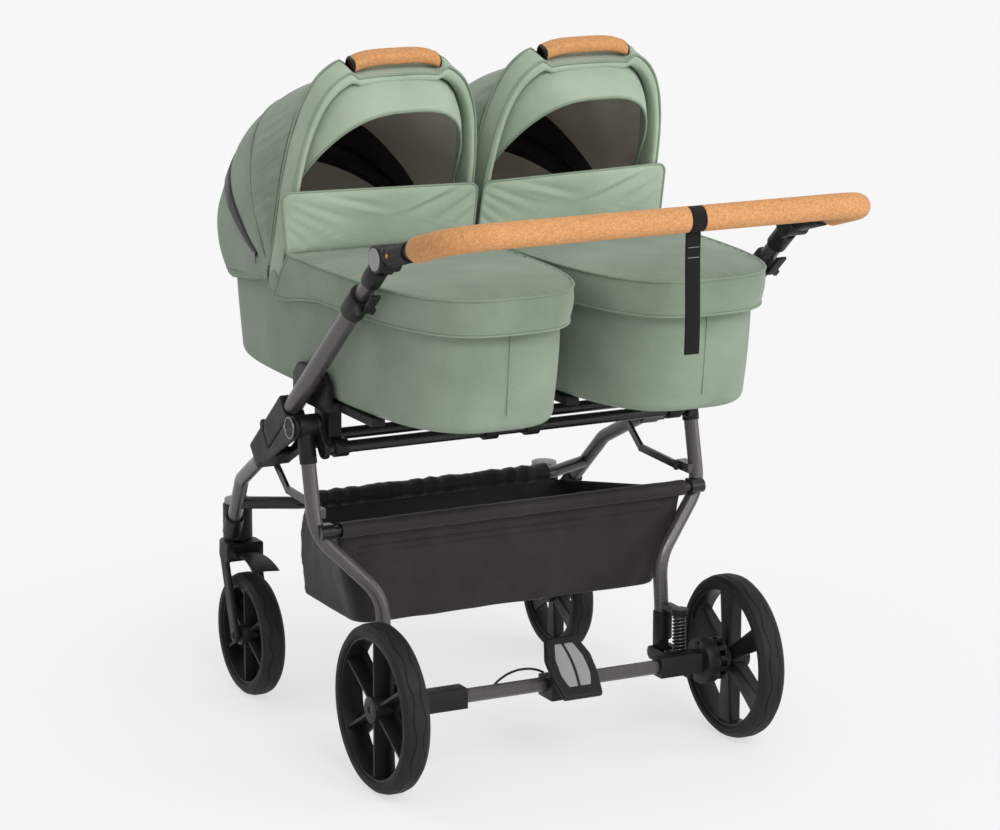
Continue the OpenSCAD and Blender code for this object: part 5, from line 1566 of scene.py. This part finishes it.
# %% Curl the castor tabs
CASTOR = (306.0, 640.0)
TAB_ROOT = 34.0
TAB_TIP = 122.0
TAB_Z = 250.0
TAB_THICK = 4.0
TAB_COUNT = 28
tab_turns = np.linspace(0, 2 * math.pi, TAB_COUNT, endpoint=False)
curve = powered(np.cos(tab_turns), 0.3)
rise = powered(np.sin(tab_turns), 0.5)
for name, side in SIDES.items():
    tongue = []
    for t in np.linspace(0, 1, 28):
        half = 19.0 + 6.5 * t**1.5
        dip = 5.0 * math.sin(math.pi * t * 0.9) - 11.0 * t**3
        thick = TAB_THICK * (1.6 - 0.6 * t)
        z = TAB_Z + dip - 3.0 * curve**2 + thick / 2 * rise
        y = np.full(TAB_COUNT, CASTOR[1] - TAB_ROOT - (TAB_TIP - TAB_ROOT) * t)
        tongue.append(np.stack([CASTOR[0] + half * curve, y, z], 1))
    tab = lay_rows(name + "_lock_tongue", capped(tongue), side, True, True, 50.0)
    wear(tab, name + "_swivel_lock", [plastic], [name + "_swivel_lock"])
print("tabs curled")

# %% [markdown]
# ## Pedal pads
#
# The brake pedal has two pale rubber pads that lie side by side along its slope, parted by a curved groove.
# Each is a thin cushion, drawn row by row so that its inner edge can follow the groove.

# %% Lay the pads on the pedal
PEDAL_TOP = 17.6
PAD_THICK = 2.6
PAD_SUNK = 0.8
PAD_GAP = 2.4
PAD_TOP_END = 42.0
PAD_LOW_END = -44.0
PAD_HALF = [(-44, 21.0), (-20, 27.0), (12, 26.0), (42, 17.0)]
for tag, out in (("left", -1), ("right", 1)):
    rows = []
    profile = np.linspace(0, 2 * math.pi, 24, endpoint=False)
    for along in np.linspace(PAD_LOW_END, PAD_TOP_END, 36):
        share = (along - PAD_LOW_END) / (PAD_TOP_END - PAD_LOW_END)
        groove = 4.0 * math.sin(math.pi * share) - 2.0
        end = math.sin(math.pi * share) ** 0.25
        inner = groove + out * PAD_GAP
        outer = out * float(table(PAD_HALF, along)) * (0.85 + 0.15 * end)
        across = (inner + outer) / 2 + (outer - inner) / 2 * powered(np.cos(profile), 0.5)
        rise = PEDAL_TOP - PAD_SUNK + PAD_THICK * end * (0.5 + 0.5 * powered(np.sin(profile), 0.5))
        rows.append(pedal_place(across, along, rise, PEDAL_SLOPE))
    pad = lay_rows("pedal_pad_" + tag, capped(rows), 1, True, True, 40.0)
    wear(pad, "brake_pedal", [pad_grey])
print("pads laid")

# %% [markdown]
# ## Springs
#
# The springs shorten when the axle swings up. A merged copy of their solid takes its place. Inside each
# spring is a dark rod that keeps it straight. The spring gives the rod's place: the middle of its points on
# each side.
# A cylinder is the start, its rims are bevelled, and it ends short of both cups.

# %% Fill the springs
CORE_RADIUS = 9.0
CORE_SHORT = 5.0


def compress(piece, finish):
    """Gives a piece its finish and bakes its place into its mesh."""
    dress(piece, [finish])
    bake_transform(piece)
    return piece


springs = moulding_copy("suspension_springs")
springs.name = "suspension_coils"
bpy.ops.object.shade_smooth()
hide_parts("suspension_springs")
compress(springs, spring_metal)
coil_points = np.array([v.co for v in springs.data.vertices])
for name, side in SIDES.items():
    coil = coil_points[coil_points[:, 0] * side > 0]
    middle = (coil.min(0) + coil.max(0)) / 2
    height = coil[:, 2].max() - coil[:, 2].min() - 2 * CORE_SHORT * MM
    core = cylinder(name + "_spring_core", tuple(middle), CORE_RADIUS * MM, height, 40)
    shade(modify(core, "BEVEL", width=1.2 * MM, segments=2), 40)
    compress(core, plastic)
print("springs filled")

# %% [markdown]
# ## The brake cable
#
# A stiff black cable leaves the pedal's mount, arches over and goes into the axle. It repeats the route of
# its solid, with a smooth curve through the points instead of straight lengths.

# %% Run the cable
CABLE_ROUTE = [
    (-31, 6, 158), (-40, 8, 163), (-56, 10, 167), (-75, 12, 167),
    (-95, 13, 162), (-112, 13, 153), (-122, 12, 145), (-127, 10.5, 140),
]
CABLE_WIDE = 4.0
route = even(np.array(CABLE_ROUTE, float), 60)
for _ in range(12):
    route[1:-1] = (route[:-2] + 2 * route[1:-1] + route[2:]) / 4
route = even(route, 32)
cable = bead("brake_cable_sheath", route, CABLE_WIDE, 1, 12)
wear(cable, body_of_node["brake_cable"], [plastic], ["brake_cable"])
cable_path = [tuple(point) for point in to_frame(route, 1)]

# %% [markdown]
# ## Medallions and screws
#
# Each hub has a plain dark medallion in a bright ring, and small screws hold the elbows and hubs together. A
# ring is a torus. A screw is a cylinder whose rim is bevelled and whose face is sunk by an inset.

# %% Ring the medallions
HUB = (221.86, 565.94)
HUB_FACE = 391.0
MEDALLION = 0.03
RING_RADIUS = 17.0
RING_THICK = 1.3
hub_caps = bpy.data.objects["frame_caps_moulding"]
hub_caps.data.materials.append(plastic.material)
for face in hub_caps.data.polygons:
    if abs(face.center.x) > 0.38 and abs(face.center.z - HUB[1] * MM) < MEDALLION:
        face.material_index = 1
for name, side in SIDES.items():
    bpy.ops.object.select_all(action="DESELECT")
    centre = (side * (HUB_FACE + 0.1) * MM, HUB[0] * MM + AXLE_Y, HUB[1] * MM)
    bpy.ops.mesh.primitive_torus_add(
        major_segments=64, minor_segments=10, major_radius=RING_RADIUS * MM, minor_radius=RING_THICK * MM,
        location=centre, rotation=SIDEWAYS,
    )
    ring = settle(name + "_hub_ring")
    bpy.ops.object.shade_smooth()
    wear(ring, "chassis", [steel])
print("medallions ringed")

# %% [markdown]
# The elbows are rounded, so the screws can't be placed by numbers alone. A ray from outside finds where each
# one sits and which way it faces.

# %% Drive the screws
SCREW_TALL = 2.4
SCREW_SUNK = 0.8
SCREW_RIM = 0.3
HUB_SCREW = (388.0, 248.0, 563.0)
HUB_SCREW_RADIUS = 3.2
ELBOW_SCREWS = [(-143.0, 913.0), (-46.0, 865.0)]
ELBOW_SCREW_RADIUS = 3.4


def screw(name, body, place, facing, radius, finish):
    """A round screw head at a place in metres, its axis along facing."""
    turn = Vector(facing).to_track_quat("Z", "Y").to_euler()
    head = cylinder(name, place, radius * MM, SCREW_TALL * MM, 24, turn)
    bpy.ops.object.mode_set(mode="EDIT")
    bpy.ops.mesh.select_all(action="DESELECT")
    bpy.ops.object.mode_set(mode="OBJECT")
    for face in head.data.polygons:
        face.select = face.normal.dot(Vector(facing).normalized()) > 0.9
    bpy.ops.object.mode_set(mode="EDIT")
    bpy.ops.mesh.inset(thickness=radius * 0.55 * MM, depth=-SCREW_SUNK * MM)
    bpy.ops.object.mode_set(mode="OBJECT")
    shade(modify(head, "BEVEL", width=SCREW_RIM * MM), 40)
    return wear(head, body, [finish])


bpy.context.view_layer.update()
for name, side in SIDES.items():
    place = to_frame(HUB_SCREW, side)
    screw(name + "_hub_screw", "chassis", tuple(place), (side, 0, 0), HUB_SCREW_RADIUS, steel)
    for count, (y, z) in enumerate(ELBOW_SCREWS):
        start = Vector((side * 0.5, y * MM + AXLE_Y, z * MM))
        for node in ("elbow_heads", "elbow_sockets"):
            moulding = bpy.data.objects[node + "_moulding"]
            hit, spot, facing, _ = moulding.ray_cast(start, Vector((-side, 0, 0)))
            if hit:
                label = f"{name}_elbow_screw_{count}"
                screw(label, body_of_node[node], tuple(spot), facing, ELBOW_SCREW_RADIUS, brass)
                print(label, "on", node)
                break

# %% [markdown]
# ## The last step
#
# The last cell sets the first frame and updates the scene.

# %% Set the first frame
scene.frame_set(1)
bpy.context.view_layer.update()
